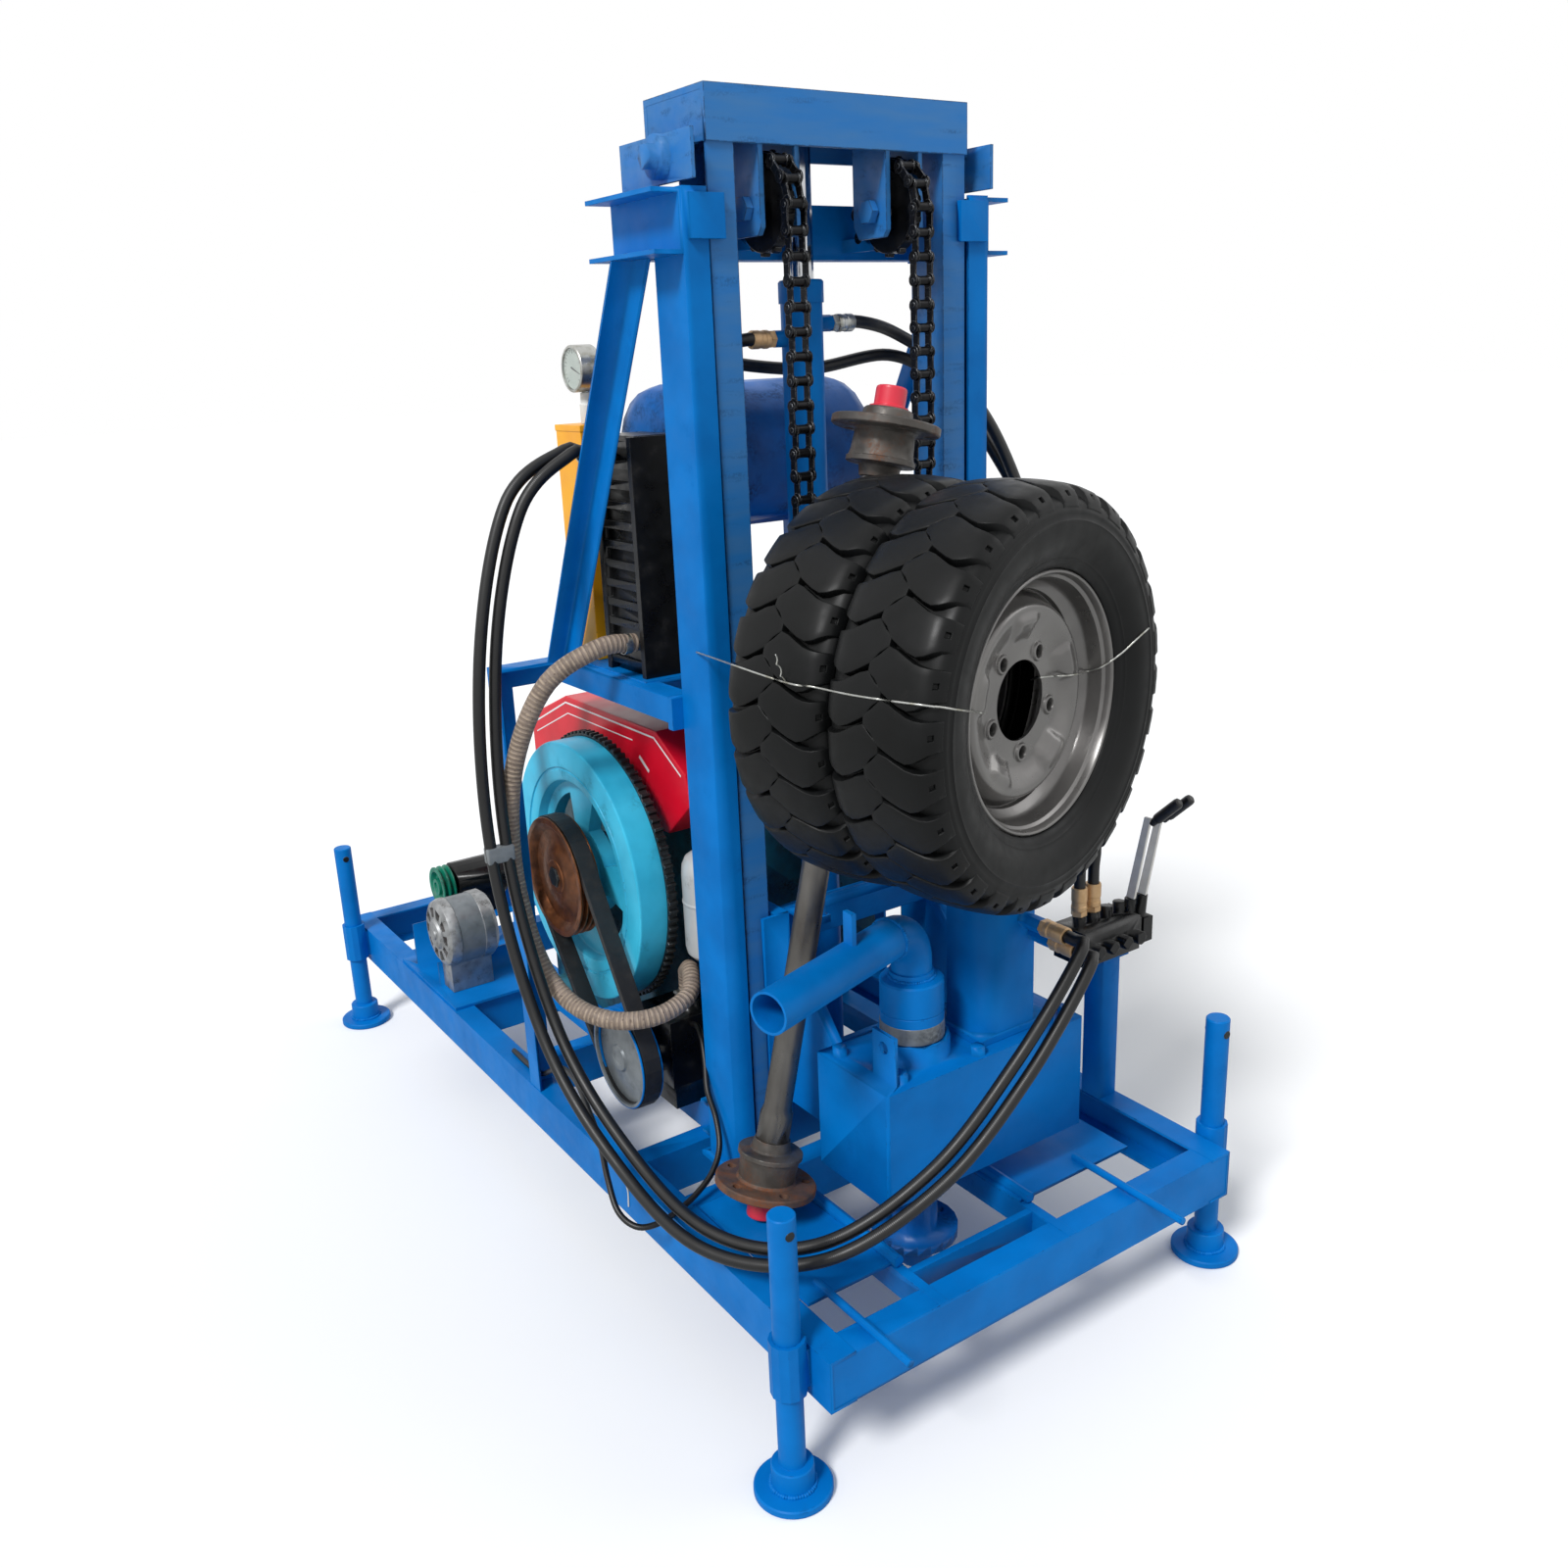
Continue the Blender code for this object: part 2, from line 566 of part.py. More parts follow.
RUN = SPROCKET_Z - CHAIN_END_Z
RUN_LINKS = round(RUN / CHAIN_PITCH)
for name, side in (("left", -1), ("right", 1)):
    x = side * SPROCKET_X
    across, out = Vector((1, 0, 0)), Vector((0, -1, 0))
    path = []
    for at, w, t in link_sizes(RUN_LINKS):
        z = CHAIN_END_Z + GAP + (RUN - 2 * GAP) * at / RUN_LINKS
        path.append((Vector((x, SPROCKET_Y - PITCH_R, z)), out, across, w * CHAIN_W / 2, t * CHAIN_T / 2))
    path.insert(0, (Vector((x, SPROCKET_Y - PITCH_R, CHAIN_END_Z + GAP)), out, across, 0.3 * CHAIN_W, 0.3 * CHAIN_T))
    path.append((Vector((x, SPROCKET_Y - PITCH_R, SPROCKET_Z - GAP)), out, across, 0.3 * CHAIN_W, 0.3 * CHAIN_T))
    node("chain_" + name, chain_strip(path), "black_steel", (x, SPROCKET_Y - PITCH_R, SPROCKET_Z), lift, smooth=0)
    # sprocket with the links wrapped over it and the short rear run
    wrap = []
    arc_links = round(pi * PITCH_R / CHAIN_PITCH)
    centre = Vector((x, SPROCKET_Y, SPROCKET_Z))
    for at, w, t in link_sizes(arc_links):
        turn = pi * at / arc_links
        outward = Vector((0, -cos(turn), sin(turn)))
        wrap.append((centre + outward * (PITCH_R - 0.002), outward, across, w * CHAIN_W / 2, t * CHAIN_T / 2))
    wrap.insert(0, (centre - Vector((0, PITCH_R, 0)), Vector((0, -1, 0)), across, 0.3 * CHAIN_W, 0.3 * CHAIN_T))
    end = Vector((x, SPROCKET_Y + PITCH_R, STUB_Z + 0.030 + GAP))
    wrap.append((Vector((x, SPROCKET_Y + PITCH_R, SPROCKET_Z)), Vector((0, 1, 0)), across, 0.3 * CHAIN_W, 0.3 * CHAIN_T))
    wrap.append((end, Vector((0, 1, 0)), across, 0.3 * CHAIN_W, 0.3 * CHAIN_T))
    disc_r = PITCH_R - CHAIN_T / 2 - 0.0005
    disc = turned([(0, -0.009), (disc_r, -0.009), (disc_r, 0.009), (0, 0.009)], 16)
    placed(disc, centre, frame_of((1, 0, 0)))
    x0, x1 = SPROCKET_X - CHAIN_W / 2 - 0.0185, SPROCKET_X + CHAIN_W / 2 + 0.0145
    bolt = rod((side * (x0 - 0.012), SPROCKET_Y, SPROCKET_Z), (side * (x1 + 0.012), SPROCKET_Y, SPROCKET_Z), AXLE_BOLT_R, 8)
    head = hexagon((side * (x0 - GAP), SPROCKET_Y, SPROCKET_Z), (-side, 0, 0), 0.030, 0.013)
    nut = hexagon((side * (x1 + GAP), SPROCKET_Y, SPROCKET_Z), (side, 0, 0), 0.030, 0.013)
    sprocket = union(disc, chain_strip(wrap), bolt, head, nut)
    node("sprocket_" + name, sprocket, "black_steel", centre, lift)

# ---------------------------------------------------------------- upper frame

upper = []
deck_top = DECK_Z + ANGLE
post = angle_outline(ANGLE, ANGLE_T)
for side in (-1, 1):
    # angle post on the long rail
    corner = [(side * (HALF_W - 0.001) - side * u, POST_Y + 0.025 - v) for u, v in post]
    upper.append(prism(corner, RAIL_TOP + GAP, deck_top - 0.001, "Z"))
    # side bar from the rear bar to the column
    bar = [(side * (BRACE_X + 0.006) - side * u, deck_top - v) for u, v in post]
    upper.append(prism(bar, COL_BACK + 0.012 + GAP, POST_Y + 0.020, "Y"))
    # end plate that bolts to the column
    x0, x1 = sorted((side * 0.232, side * (BRACE_X + 0.006)))
    upper.append(box(x0, x1, COL_BACK + GAP, COL_BACK + 0.014, DECK_Z - 0.010, deck_top - 0.002))
    # inclined brace from under the stub down to the rear corner
    foot = Vector((side * BRACE_X, POST_Y - 0.030, deck_top - 0.004))
    head = Vector((side * BRACE_X, -0.426, STUB_Z - GAP))
    brace = [(foot.y - 0.022, foot.z), (foot.y + 0.022, foot.z), (head.y + 0.022, head.z), (head.y - 0.022, head.z)]
    x0, x1 = sorted((side * (BRACE_X - 0.008), side * (BRACE_X - 0.002)))
    upper.append(prism(brace, x0, x1, "X"))
    x0, x1 = sorted((side * (BRACE_X - 0.004), side * (BRACE_X + 0.030)))
    slim = [(foot.y + 0.017, foot.z), (foot.y + 0.022, foot.z), (head.y + 0.022, head.z), (head.y + 0.017, head.z)]
    upper.append(prism(slim, x0, x1, "X"))
# rear bar along X and a middle bar under the tank
for y in (POST_Y + 0.025, -0.300):
    rear_bar = [(y - v, deck_top - 0.001 - u) for u, v in post]
    reach = HALF_W - 0.003 if y > -0.2 else BRACE_X + 0.004
    upper.append(prism(rear_bar, -reach, reach, "X"))
# shelf that carries the oil cooler, tank and box
upper.append(box(-BRACE_X + 0.010, BRACE_X - 0.010, -0.345, POST_Y + 0.022, deck_top - 0.003, deck_top + 0.003))
node("upper_frame", union(*upper), "blue_paint")

SHELF = deck_top + 0.003 + GAP
# hydraulic tank with rounded ends
TANK_X0, TANK_X1, TANK_Y, TANK_R = -0.150, 0.235, -0.185, 0.118
TANK_TOP = 1.440
tank_profile = [(0, TANK_X0), (TANK_R - 0.030, TANK_X0), (TANK_R - 0.008, TANK_X0 + 0.012), (TANK_R, TANK_X0 + 0.034),
                (TANK_R, TANK_X1 - 0.034), (TANK_R - 0.008, TANK_X1 - 0.012), (TANK_R - 0.030, TANK_X1), (0, TANK_X1)]
tank = turned(tank_profile, 20)
placed(tank, (0, TANK_Y, TANK_TOP - TANK_R), frame_of((1, 0, 0)))
legs = [box(x, x + 0.010, TANK_Y - 0.080, TANK_Y + 0.080, SHELF, TANK_TOP - TANK_R - 0.040)
        for x in (TANK_X0 + 0.060, TANK_X1 - 0.070)]
filler = rod((0.16, TANK_Y, TANK_TOP - 0.02), (0.16, TANK_Y, TANK_TOP + 0.022), 0.026, 12)
node("hydraulic_tank", union(tank, *legs, filler), "blue_paint")

# oil cooler, its fins one above the other
COOL_X0, COOL_X1, COOL_Y0, COOL_Y1, COOL_TOP = -0.256, -0.170, -0.330, -0.205, 1.372
fins = [box(COOL_X0 + 0.012, COOL_X1 - 0.004, COOL_Y0 + 0.008, COOL_Y1 - 0.008, SHELF, COOL_TOP)]
fins.append(box(COOL_X0, COOL_X1, COOL_Y0, COOL_Y0 + 0.012, SHELF, COOL_TOP - 0.001))
fins.append(box(COOL_X0, COOL_X1, COOL_Y1 - 0.012, COOL_Y1, SHELF, COOL_TOP - 0.001))
count = 12
for i in range(count):
    z = SHELF + 0.012 + (COOL_TOP - SHELF - 0.030) * i / (count - 1)
    fins.append(box(COOL_X0 + 0.002, COOL_X0 + 0.020, COOL_Y0 + 0.010, COOL_Y1 - 0.010, z, z + 0.012))
node("oil_cooler", union(*fins), "black_paint", smooth=0)

# upright orange box with a connector on top
BOX_X0, BOX_X1, BOX_Y0, BOX_Y1, BOX_TOP = -0.245, -0.178, -0.150, -0.062, 1.384
body = box(BOX_X0, BOX_X1, BOX_Y0, BOX_Y1, SHELF, BOX_TOP)
node("orange_box", body, "orange_paint", smooth=0)
plug = rod((-0.212, -0.120, BOX_TOP + GAP), (-0.212, -0.120, BOX_TOP + 0.050), 0.014, 10)
dial = rod((-0.237, -0.120, BOX_TOP + 0.085), (-0.200, -0.120, BOX_TOP + 0.085), 0.036, 14)
stem = rod((-0.212, -0.120, BOX_TOP + 0.045), (-0.212, -0.120, BOX_TOP + 0.060), 0.010, 8)
elbow = rod((-0.205, -0.120, BOX_TOP + 0.085), (-0.150, -0.120, BOX_TOP + 0.085), 0.012, 8)
node("pressure_gauge", union(plug, stem, dial, elbow), "grey_paint")

# ---------------------------------------------------------------- engine

FOOT_Z = RAIL_TOP + 0.046 + GAP
block = [box(-0.205, 0.215, -0.200, 0.230, FOOT_Z + 0.012, 0.720)]
block.append(box(-0.150, 0.150, -0.368, -0.190, 0.470, 0.735))
block.append(box(-0.228, 0.228, -0.180, -0.100, FOOT_Z, FOOT_Z + 0.024))
block.append(box(-0.228, 0.228, 0.120, 0.200, FOOT_Z, FOOT_Z + 0.024))
block.append(rod((FLY_X + FLY_T + GAP, FLY_Y, FLY_Z), (-0.200, FLY_Y, FLY_Z), 0.050, 16))
block.append(rod((-0.226, 0.070, 0.420), (-0.200, 0.070, 0.420), 0.062, 16))
node("engine_block", union(*block), "teal_paint")
hood_outline = [(-0.292, 0.7353), (-0.372, 0.805), (-0.358, 0.852), (-0.270, 0.905), (0.060, 0.905), (0.215, 0.842),
                (0.215, 0.7203), (-0.1895, 0.7203), (-0.1895, 0.7353)]
hood = prism(hood_outline, -0.215, 0.150, "X")
node("engine_hood", hood, "red_paint")
# air cleaner beside the cylinder head
cleaner = turned([(0, 0), (0.034, 0.004), (0.044, 0.020), (0.044, 0.100), (0.041, 0.105), (0.044, 0.110),
                  (0.044, 0.165), (0.034, 0.184), (0, 0.188)], 14)
CLEAN_X, CLEAN_Y, CLEAN_Z = -0.200, -0.388, 0.545
placed(cleaner, (CLEAN_X, CLEAN_Y, CLEAN_Z))
neck = rod((CLEAN_X, CLEAN_Y, CLEAN_Z + 0.180), (CLEAN_X, CLEAN_Y, CLEAN_Z + 0.222), 0.022, 10)
outlet = box(CLEAN_X + 0.010, -0.150 - GAP, CLEAN_Y + 0.012, CLEAN_Y + 0.044, CLEAN_Z + 0.060, CLEAN_Z + 0.120)
node("air_cleaner", union(cleaner, neck, outlet), "grey_paint")
# silencer pipe on the right side
node("exhaust_pipe", union(rod((0.180, -0.300, 0.685), (0.180, -0.300, 0.845), 0.020, 12),
                           rod((0.1503, -0.300, 0.700), (0.190, -0.300, 0.700), 0.020, 12)), "cast_iron")

# flywheel with kidney openings, on the engine's left side
fly_joint = joint("flywheel_axle", (FLY_X, FLY_Y, FLY_Z))
x_axis = frame_of((1, 0, 0))
FLY_RING = FLY_R - 0.006
HUB_OUT = 0.004
profile = [(0.034, -HUB_OUT), (0.058, -HUB_OUT), (0.060, 0.016), (0.150, 0.024), (0.168, 0.002), (FLY_RING - 0.004, 0.0),
           (FLY_RING, 0.004), (FLY_RING, FLY_T), (0.176, FLY_T), (0.170, 0.044), (0.060, 0.044), (0.056, FLY_T), (0.034, FLY_T)]
wheel = turned(profile, 28, closed=True)
kidneys = []
for k in range(4):
    inner_arc = [(0.078 * cos(a), 0.078 * sin(a)) for a in [k * pi / 2 + radians(18 + 54 * i / 3) for i in range(4)]]
    outer_arc = [(0.135 * cos(a), 0.135 * sin(a)) for a in [k * pi / 2 + radians(72 - 54 * i / 3) for i in range(4)]]
    kidneys.append(prism(inner_arc + outer_arc, -0.02, 0.09))
wheel = cut(wheel, *kidneys)
placed(wheel, (FLY_X, FLY_Y, FLY_Z), x_axis)
node("flywheel", wheel, "turquoise_paint", (FLY_X, FLY_Y, FLY_Z), fly_joint)
outline = []
for i in range(RING_TEETH):
    for at, r in ((0.0, FLY_R - 0.004), (0.5, FLY_R + 0.004)):
        a = tau * (i + at) / RING_TEETH
        outline.append((r * cos(a), r * sin(a)))
ring = prism(outline, FLY_T - 0.018, FLY_T - 0.002)
ring = cut(ring, turned([(0, -0.01), (FLY_RING + GAP, -0.01), (FLY_RING + GAP, 0.1), (0, 0.1)], 28))
placed(ring, (FLY_X, FLY_Y, FLY_Z), x_axis)
node("ring_gear", ring, "black_steel", (FLY_X, FLY_Y, FLY_Z), fly_joint, smooth=0)

def grooved_pulley(radius, width, hub_r, hub_length):
    # a belt wheel with raised lips, from z = 0 to width, and a hub behind it
    lip = 0.004
    floor = radius - BELT_T - GAP
    return [(0, 0), (radius, 0), (radius, lip), (floor, lip), (floor, width - lip), (radius, width - lip),
            (radius, width), (hub_r, width), (hub_r, width + hub_length), (0, width + hub_length)]


BELT_X = FLY_X - HUB_OUT - GAP - BELT_W
drive_pulley = turned(grooved_pulley(DRIVE_R, BELT_W, 0.0335, 0.060), 22)
placed(drive_pulley, (BELT_X, FLY_Y, FLY_Z), x_axis)
node("drive_pulley", drive_pulley, "copper", (BELT_X, FLY_Y, FLY_Z), fly_joint)

pump_joint = joint("pump_axle", (BELT_X, PUMP_Y, PUMP_Z))
pump_pulley = turned(grooved_pulley(PUMP_R, BELT_W, 0.020, 0.020), 20)
placed(pump_pulley, (BELT_X, PUMP_Y, PUMP_Z), x_axis)
node("pump_pulley", pump_pulley, "cast_iron", (BELT_X, PUMP_Y, PUMP_Z), pump_joint)


def belt_outline(c0, r0, c1, r1, count=14):
    # the outline of a taut belt round two circles, in (y, z)
    dy, dz = c1[0] - c0[0], c1[1] - c0[1]
    distance = sqrt(dy * dy + dz * dz)
    heading = atan2(dz, dy)
    lean = atan2(sqrt(distance ** 2 - (r0 - r1) ** 2), r0 - r1)
    points = []
    for i in range(count + 1):
        a = heading + lean + (tau - 2 * lean) * i / count
        points.append((c0[0] + r0 * cos(a), c0[1] + r0 * sin(a)))
    for i in range(count + 1):
        a = heading - lean + 2 * lean * i / count
        points.append((c1[0] + r1 * cos(a), c1[1] + r1 * sin(a)))
    return points


lip = 0.004
drive_c, pump_c = (FLY_Y, FLY_Z), (PUMP_Y, PUMP_Z)
belt_low, belt_high = BELT_X + lip + GAP, BELT_X + BELT_W - lip - GAP
belt_out = prism(belt_outline(drive_c, DRIVE_R + 0.002, pump_c, PUMP_R + 0.002, 12), belt_low, belt_high, "X")
belt_in = prism(belt_outline(drive_c, DRIVE_R - BELT_T + GAP, pump_c, PUMP_R - BELT_T + GAP, 22), belt_low - 0.01, belt_high + 0.01, "X")
node("drive_belts", cut(belt_out, belt_in), "hose_rubber")

# hydraulic pump on a bracket behind its pulley
pump_x0 = BELT_X + BELT_W + 0.020 + GAP
SUCTION_X, SUCTION_Y = pump_x0 + 0.070, PUMP_Y - 0.022
pump = [rod((pump_x0, PUMP_Y, PUMP_Z), (pump_x0 + 0.020, PUMP_Y, PUMP_Z), 0.045, 16),
        box(pump_x0 + 0.015, pump_x0 + 0.120, PUMP_Y - 0.052, PUMP_Y + 0.052, PUMP_Z - 0.060, PUMP_Z + 0.060),
        rod((SUCTION_X, SUCTION_Y, PUMP_Z + 0.050), (SUCTION_X, SUCTION_Y, PUMP_Z + 0.078), 0.018, 12),
        box(pump_x0 + 0.020, pump_x0 + 0.110, PUMP_Y - 0.048, PUMP_Y + 0.048, RAIL_TOP + 0.046 + GAP, PUMP_Z - 0.050)]
node("hydraulic_pump", union(*pump), "black_paint")

# rear cross beam with the alternator and the small pump
beam_y = 0.430
node("accessory_beam", union(prism([(beam_y - 0.110, RAIL_TOP + GAP), (beam_y + 0.200, RAIL_TOP + GAP), (beam_y + 0.200, RAIL_TOP + 0.006),
                                    (beam_y - 0.110, RAIL_TOP + 0.006)], -0.396, -0.150, "X"),
                             box(-0.380, -0.200, beam_y + 0.010, beam_y + 0.018, RAIL_TOP + 0.004, 0.286),
                             box(-0.380, -0.200, beam_y + 0.146, beam_y + 0.152, RAIL_TOP + 0.004, 0.330)), "blue_paint")
ALT_X0, ALT_Y, ALT_Z, ALT_R = -0.392, 0.420, 0.362, 0.072
alternator = turned([(0, 0), (0.030, 0), (0.040, 0.008), (ALT_R - 0.012, 0.010), (ALT_R, 0.024), (ALT_R, 0.108),
                     (ALT_R - 0.010, 0.120), (0.030, 0.124), (0.018, 0.126), (0, 0.126)], 16)
placed(alternator, (ALT_X0, ALT_Y, ALT_Z), x_axis)
ears = [box(ALT_X0 + 0.020, ALT_X0 + 0.034, ALT_Y - 0.020, ALT_Y + 0.016, 0.3003, ALT_Z - 0.020),
        box(ALT_X0 + 0.020, ALT_X0 + 0.110, ALT_Y - 0.030, ALT_Y + 0.0197, 0.2363, 0.310)]
node("alternator", union(alternator, *ears), "aluminium")
GP_X0, GP_Y, GP_Z, GP_R = -0.322, 0.575, 0.402, 0.044
gp_joint = joint("small_pump_axle", (GP_X0, GP_Y, GP_Z))
profile = [(0, 0), (0.020, 0), (0.020, 0.004), (GP_R, 0.004), (GP_R, 0.007), (GP_R - 0.010, 0.012), (GP_R, 0.017), (GP_R, 0.020),
           (GP_R - 0.010, 0.025), (GP_R, 0.030), (GP_R, 0.033), (0.014, 0.033), (0.014, 0.040), (0, 0.040)]
small = turned(profile, 14)
placed(small, (GP_X0, GP_Y, GP_Z), x_axis)
node("small_pump_pulley", small, "green_paint", (GP_X0, GP_Y, GP_Z), gp_joint)
sp_x = GP_X0 + 0.040 + GAP
node("small_pump", union(rod((sp_x, GP_Y, GP_Z), (sp_x + 0.110, GP_Y, GP_Z), 0.046, 16),
                         box(sp_x + 0.012, sp_x + 0.090, GP_Y - 0.035, GP_Y + 0.0008, 0.3303, GP_Z)), "black_paint")

# ---------------------------------------------------------------- valve stand

VALVE_X, VALVE_Y, VALVE_Z = 0.376, -0.700, 0.500
stand = [prism([(VALVE_X - 0.020 + u, VALVE_Y - 0.020 + v) for u, v in angle_outline(0.040, 0.005)], RAIL_TOP + GAP, VALVE_Z - GAP, "Z"),
         box(VALVE_X - 0.030, VALVE_X + 0.030, VALVE_Y - 0.030, VALVE_Y + 0.030, VALVE_Z - 0.006 - GAP, VALVE_Z - GAP)]
node("valve_stand", union(*stand), "blue_paint")
valve = [box(VALVE_X - 0.080, VALVE_X + 0.050, VALVE_Y - 0.035, VALVE_Y + 0.035, VALVE_Z, VALVE_Z + 0.060)]
for i in range(4):
    x = VALVE_X - 0.060 + 0.032 * i
    valve.append(rod((x, VALVE_Y, VALVE_Z + 0.055), (x, VALVE_Y, VALVE_Z + 0.078), 0.011, 8))
    valve.append(rod((x, VALVE_Y - 0.030, VALVE_Z + 0.028), (x, VALVE_Y - 0.052, VALVE_Z + 0.028), 0.012, 8))
for i in range(2):
    x = VALVE_X + 0.048 + 0.028 * i
    valve.append(box(x - 0.011, x + 0.011, VALVE_Y - 0.030, VALVE_Y + 0.030, VALVE_Z + 0.004, VALVE_Z + 0.052 - 0.004 * i))
    valve.append(rod((x, VALVE_Y - 0.010, VALVE_Z + 0.040), (x, VALVE_Y - 0.014, VALVE_Z + 0.085), 0.010, 8))
valve.append(box(VALVE_X + 0.040, VALVE_X + 0.084, VALVE_Y - 0.024, VALVE_Y + 0.024, VALVE_Z + 0.006, VALVE_Z + 0.040))
node("control_valve", union(*valve), "black_paint")
for i in range(2):
    x = VALVE_X + 0.048 + 0.028 * i
    low = Vector((x, VALVE_Y - 0.0145, VALVE_Z + 0.085 + 2 * GAP))
    top = low + Vector((0.004, -0.030, 0.150))
    lever = [(low.y - 0.006, low.z), (low.y + 0.006, low.z), (top.y + 0.006, top.z), (top.y - 0.006, top.z)]
    grip = rod(top - Vector((0, 0.004, 0.010)), top + Vector((0.012, -0.050, 0.040)), 0.009, 10)
    node("lever_%d" % (i + 1), union(prism(lever, x - 0.002, x + 0.002, "X"), grip), "grey_paint")

# ---------------------------------------------------------------- drill head

head_joint = joint("head_lift", (0, MAST_Y, CARRIAGE_TOP), lift)
carriage = []
bar_x0, bar_x1 = 0.150, INNER_X - 0.0055
lip_x = 0.198
front_lip = MAST_Y + INNER_SET - 0.006
back_lip = COL_BACK - INNER_SET + 0.006
for side in (-1, 1):
    x0, x1 = sorted((side * bar_x0, side * bar_x1))
    carriage.append(box(x0, x1, front_lip - 0.004, back_lip + 0.004, CARRIAGE_Z, CARRIAGE_TOP))
    x0, x1 = sorted((side * (bar_x0 + 0.001), side * lip_x))
    carriage.append(box(x0, x1, front_lip - 0.008, front_lip, CARRIAGE_Z + 0.001, CARRIAGE_TOP - 0.001))
    carriage.append(box(x0, x1, back_lip, back_lip + 0.008, CARRIAGE_Z + 0.001, CARRIAGE_TOP - 0.001))
    # side arm that carries the gearbox
    x0, x1 = sorted((side * (bar_x0 - 0.010), side * (bar_x0 + 0.008)))
    arm = [(HEAD_BACK + GAP, CARRIAGE_Z + 0.002), (-0.520, CARRIAGE_Z + 0.002), (-0.520, 0.600), (front_lip - 0.020, 0.600),
           (HEAD_BACK + GAP, HEAD_TOP - 0.010)]
    carriage.append(prism(arm, x0, x1, "X"))
    # anchor of the chain
    x = side * SPROCKET_X
    carriage.append(box(x - 0.016, x + 0.016, SPROCKET_Y - PITCH_R - 0.010, MAST_Y + 0.020, CARRIAGE_TOP - 0.022, CARRIAGE_TOP - 0.010))
    carriage.append(box(x - 0.009, x + 0.009, SPROCKET_Y - PITCH_R - 0.007, SPROCKET_Y - PITCH_R + 0.007, CARRIAGE_TOP - 0.012, CHAIN_END_Z))
for z0, z1 in ((CARRIAGE_Z + 0.002, CARRIAGE_Z + 0.062), (CARRIAGE_TOP - 0.062, CARRIAGE_TOP - 0.002)):
    carriage.append(box(-bar_x0 - 0.002, bar_x0 + 0.002, MAST_Y + 0.012, MAST_Y + 0.024, z0, z1))
node("carriage", union(*carriage), "blue_paint", (0, MAST_Y, CARRIAGE_TOP), head_joint)

edge = 0.004
case = [(-HEAD_X, HEAD_FRONT + edge), (-HEAD_X + edge, HEAD_FRONT), (HEAD_X - edge, HEAD_FRONT), (HEAD_X, HEAD_FRONT + edge),
        (HEAD_X, HEAD_BACK - edge), (HEAD_X - edge, HEAD_BACK), (-HEAD_X + edge, HEAD_BACK), (-HEAD_X, HEAD_BACK - edge)]
gear_case = [prism(case, HEAD_Z, HEAD_TOP)]
gear_case.append(rod((SPINDLE_X, HEAD_MID_Y, HEAD_Z + 0.01), (SPINDLE_X, HEAD_MID_Y, HEAD_Z - 0.012), 0.055, 16))
gear_case.append(pipe((SPINDLE_X, HEAD_MID_Y, HEAD_TOP - 0.004), (SPINDLE_X, HEAD_MID_Y, HEAD_TOP + 0.030), 0.056, 0.0475 + 3 * GAP, 16))
# bolt heads on the cover
for x, y in ((-0.150, -0.805), (-0.012, -0.815), (0.176, -0.805), (0.176, -0.685), (-0.010, -0.685), (-0.172, -0.690)):
    gear_case.append(hexagon((x, y, HEAD_TOP - 0.002), (0, 0, 1), 0.020, 0.016))
# bracket plate with its hole
bracket = box(-0.168, -0.162, -0.815, -0.765, HEAD_TOP - 0.003, HEAD_TOP + 0.075)
bracket = cut(bracket, rod((-0.18, -0.790, HEAD_TOP + 0.052), (-0.15, -0.790, HEAD_TOP + 0.052), 0.010, 8))
gear_case.append(bracket)
node("gearbox", union(*gear_case), "blue_paint", (SPINDLE_X, HEAD_MID_Y, HEAD_Z), head_joint)

cham = 0.028
mx0, mx1 = MOTOR_X - MOTOR_W / 2, MOTOR_X + MOTOR_W / 2
my0, my1 = HEAD_MID_Y - MOTOR_D / 2, HEAD_MID_Y + MOTOR_D / 2
column = [(mx0 + cham, my0), (mx1 - cham, my0), (mx1, my0 + cham), (mx1, my1 - cham), (mx1 - cham, my1), (mx0 + cham, my1),
          (mx0, my1 - cham), (mx0, my0 + cham)]
motor = [prism(column, HEAD_TOP + GAP, MOTOR_TOP)]
flange = [(mx0 - 0.010, my0 - 0.006), (mx1 + 0.010, my0 - 0.006), (mx1 + 0.010, my1 + 0.004), (mx0 - 0.010, my1 + 0.004)]
motor.append(prism(flange, HEAD_TOP + GAP, HEAD_TOP + 0.010))
PORT_XZ = ((0.092, 0.668), (0.112, 0.640))
for x, z in PORT_XZ:
    motor.append(rod((x, my0 + 0.010, z), (x, my0 - 0.016, z), 0.012, 8))
    motor.append(hexagon((x, my0 - 0.014, z), (0, -1, 0), 0.021, 0.026))
node("motor_housing", union(*motor), "blue_paint", (MOTOR_X, HEAD_MID_Y, HEAD_TOP), head_joint)

# water swivel: collar, body, neck and the bent outlet pipe
outlet_dir = Vector((-0.316, -0.098, 0)).normalized()
bend_r = 0.052
corner = Vector((SPINDLE_X, HEAD_MID_Y, PIPE_Z))


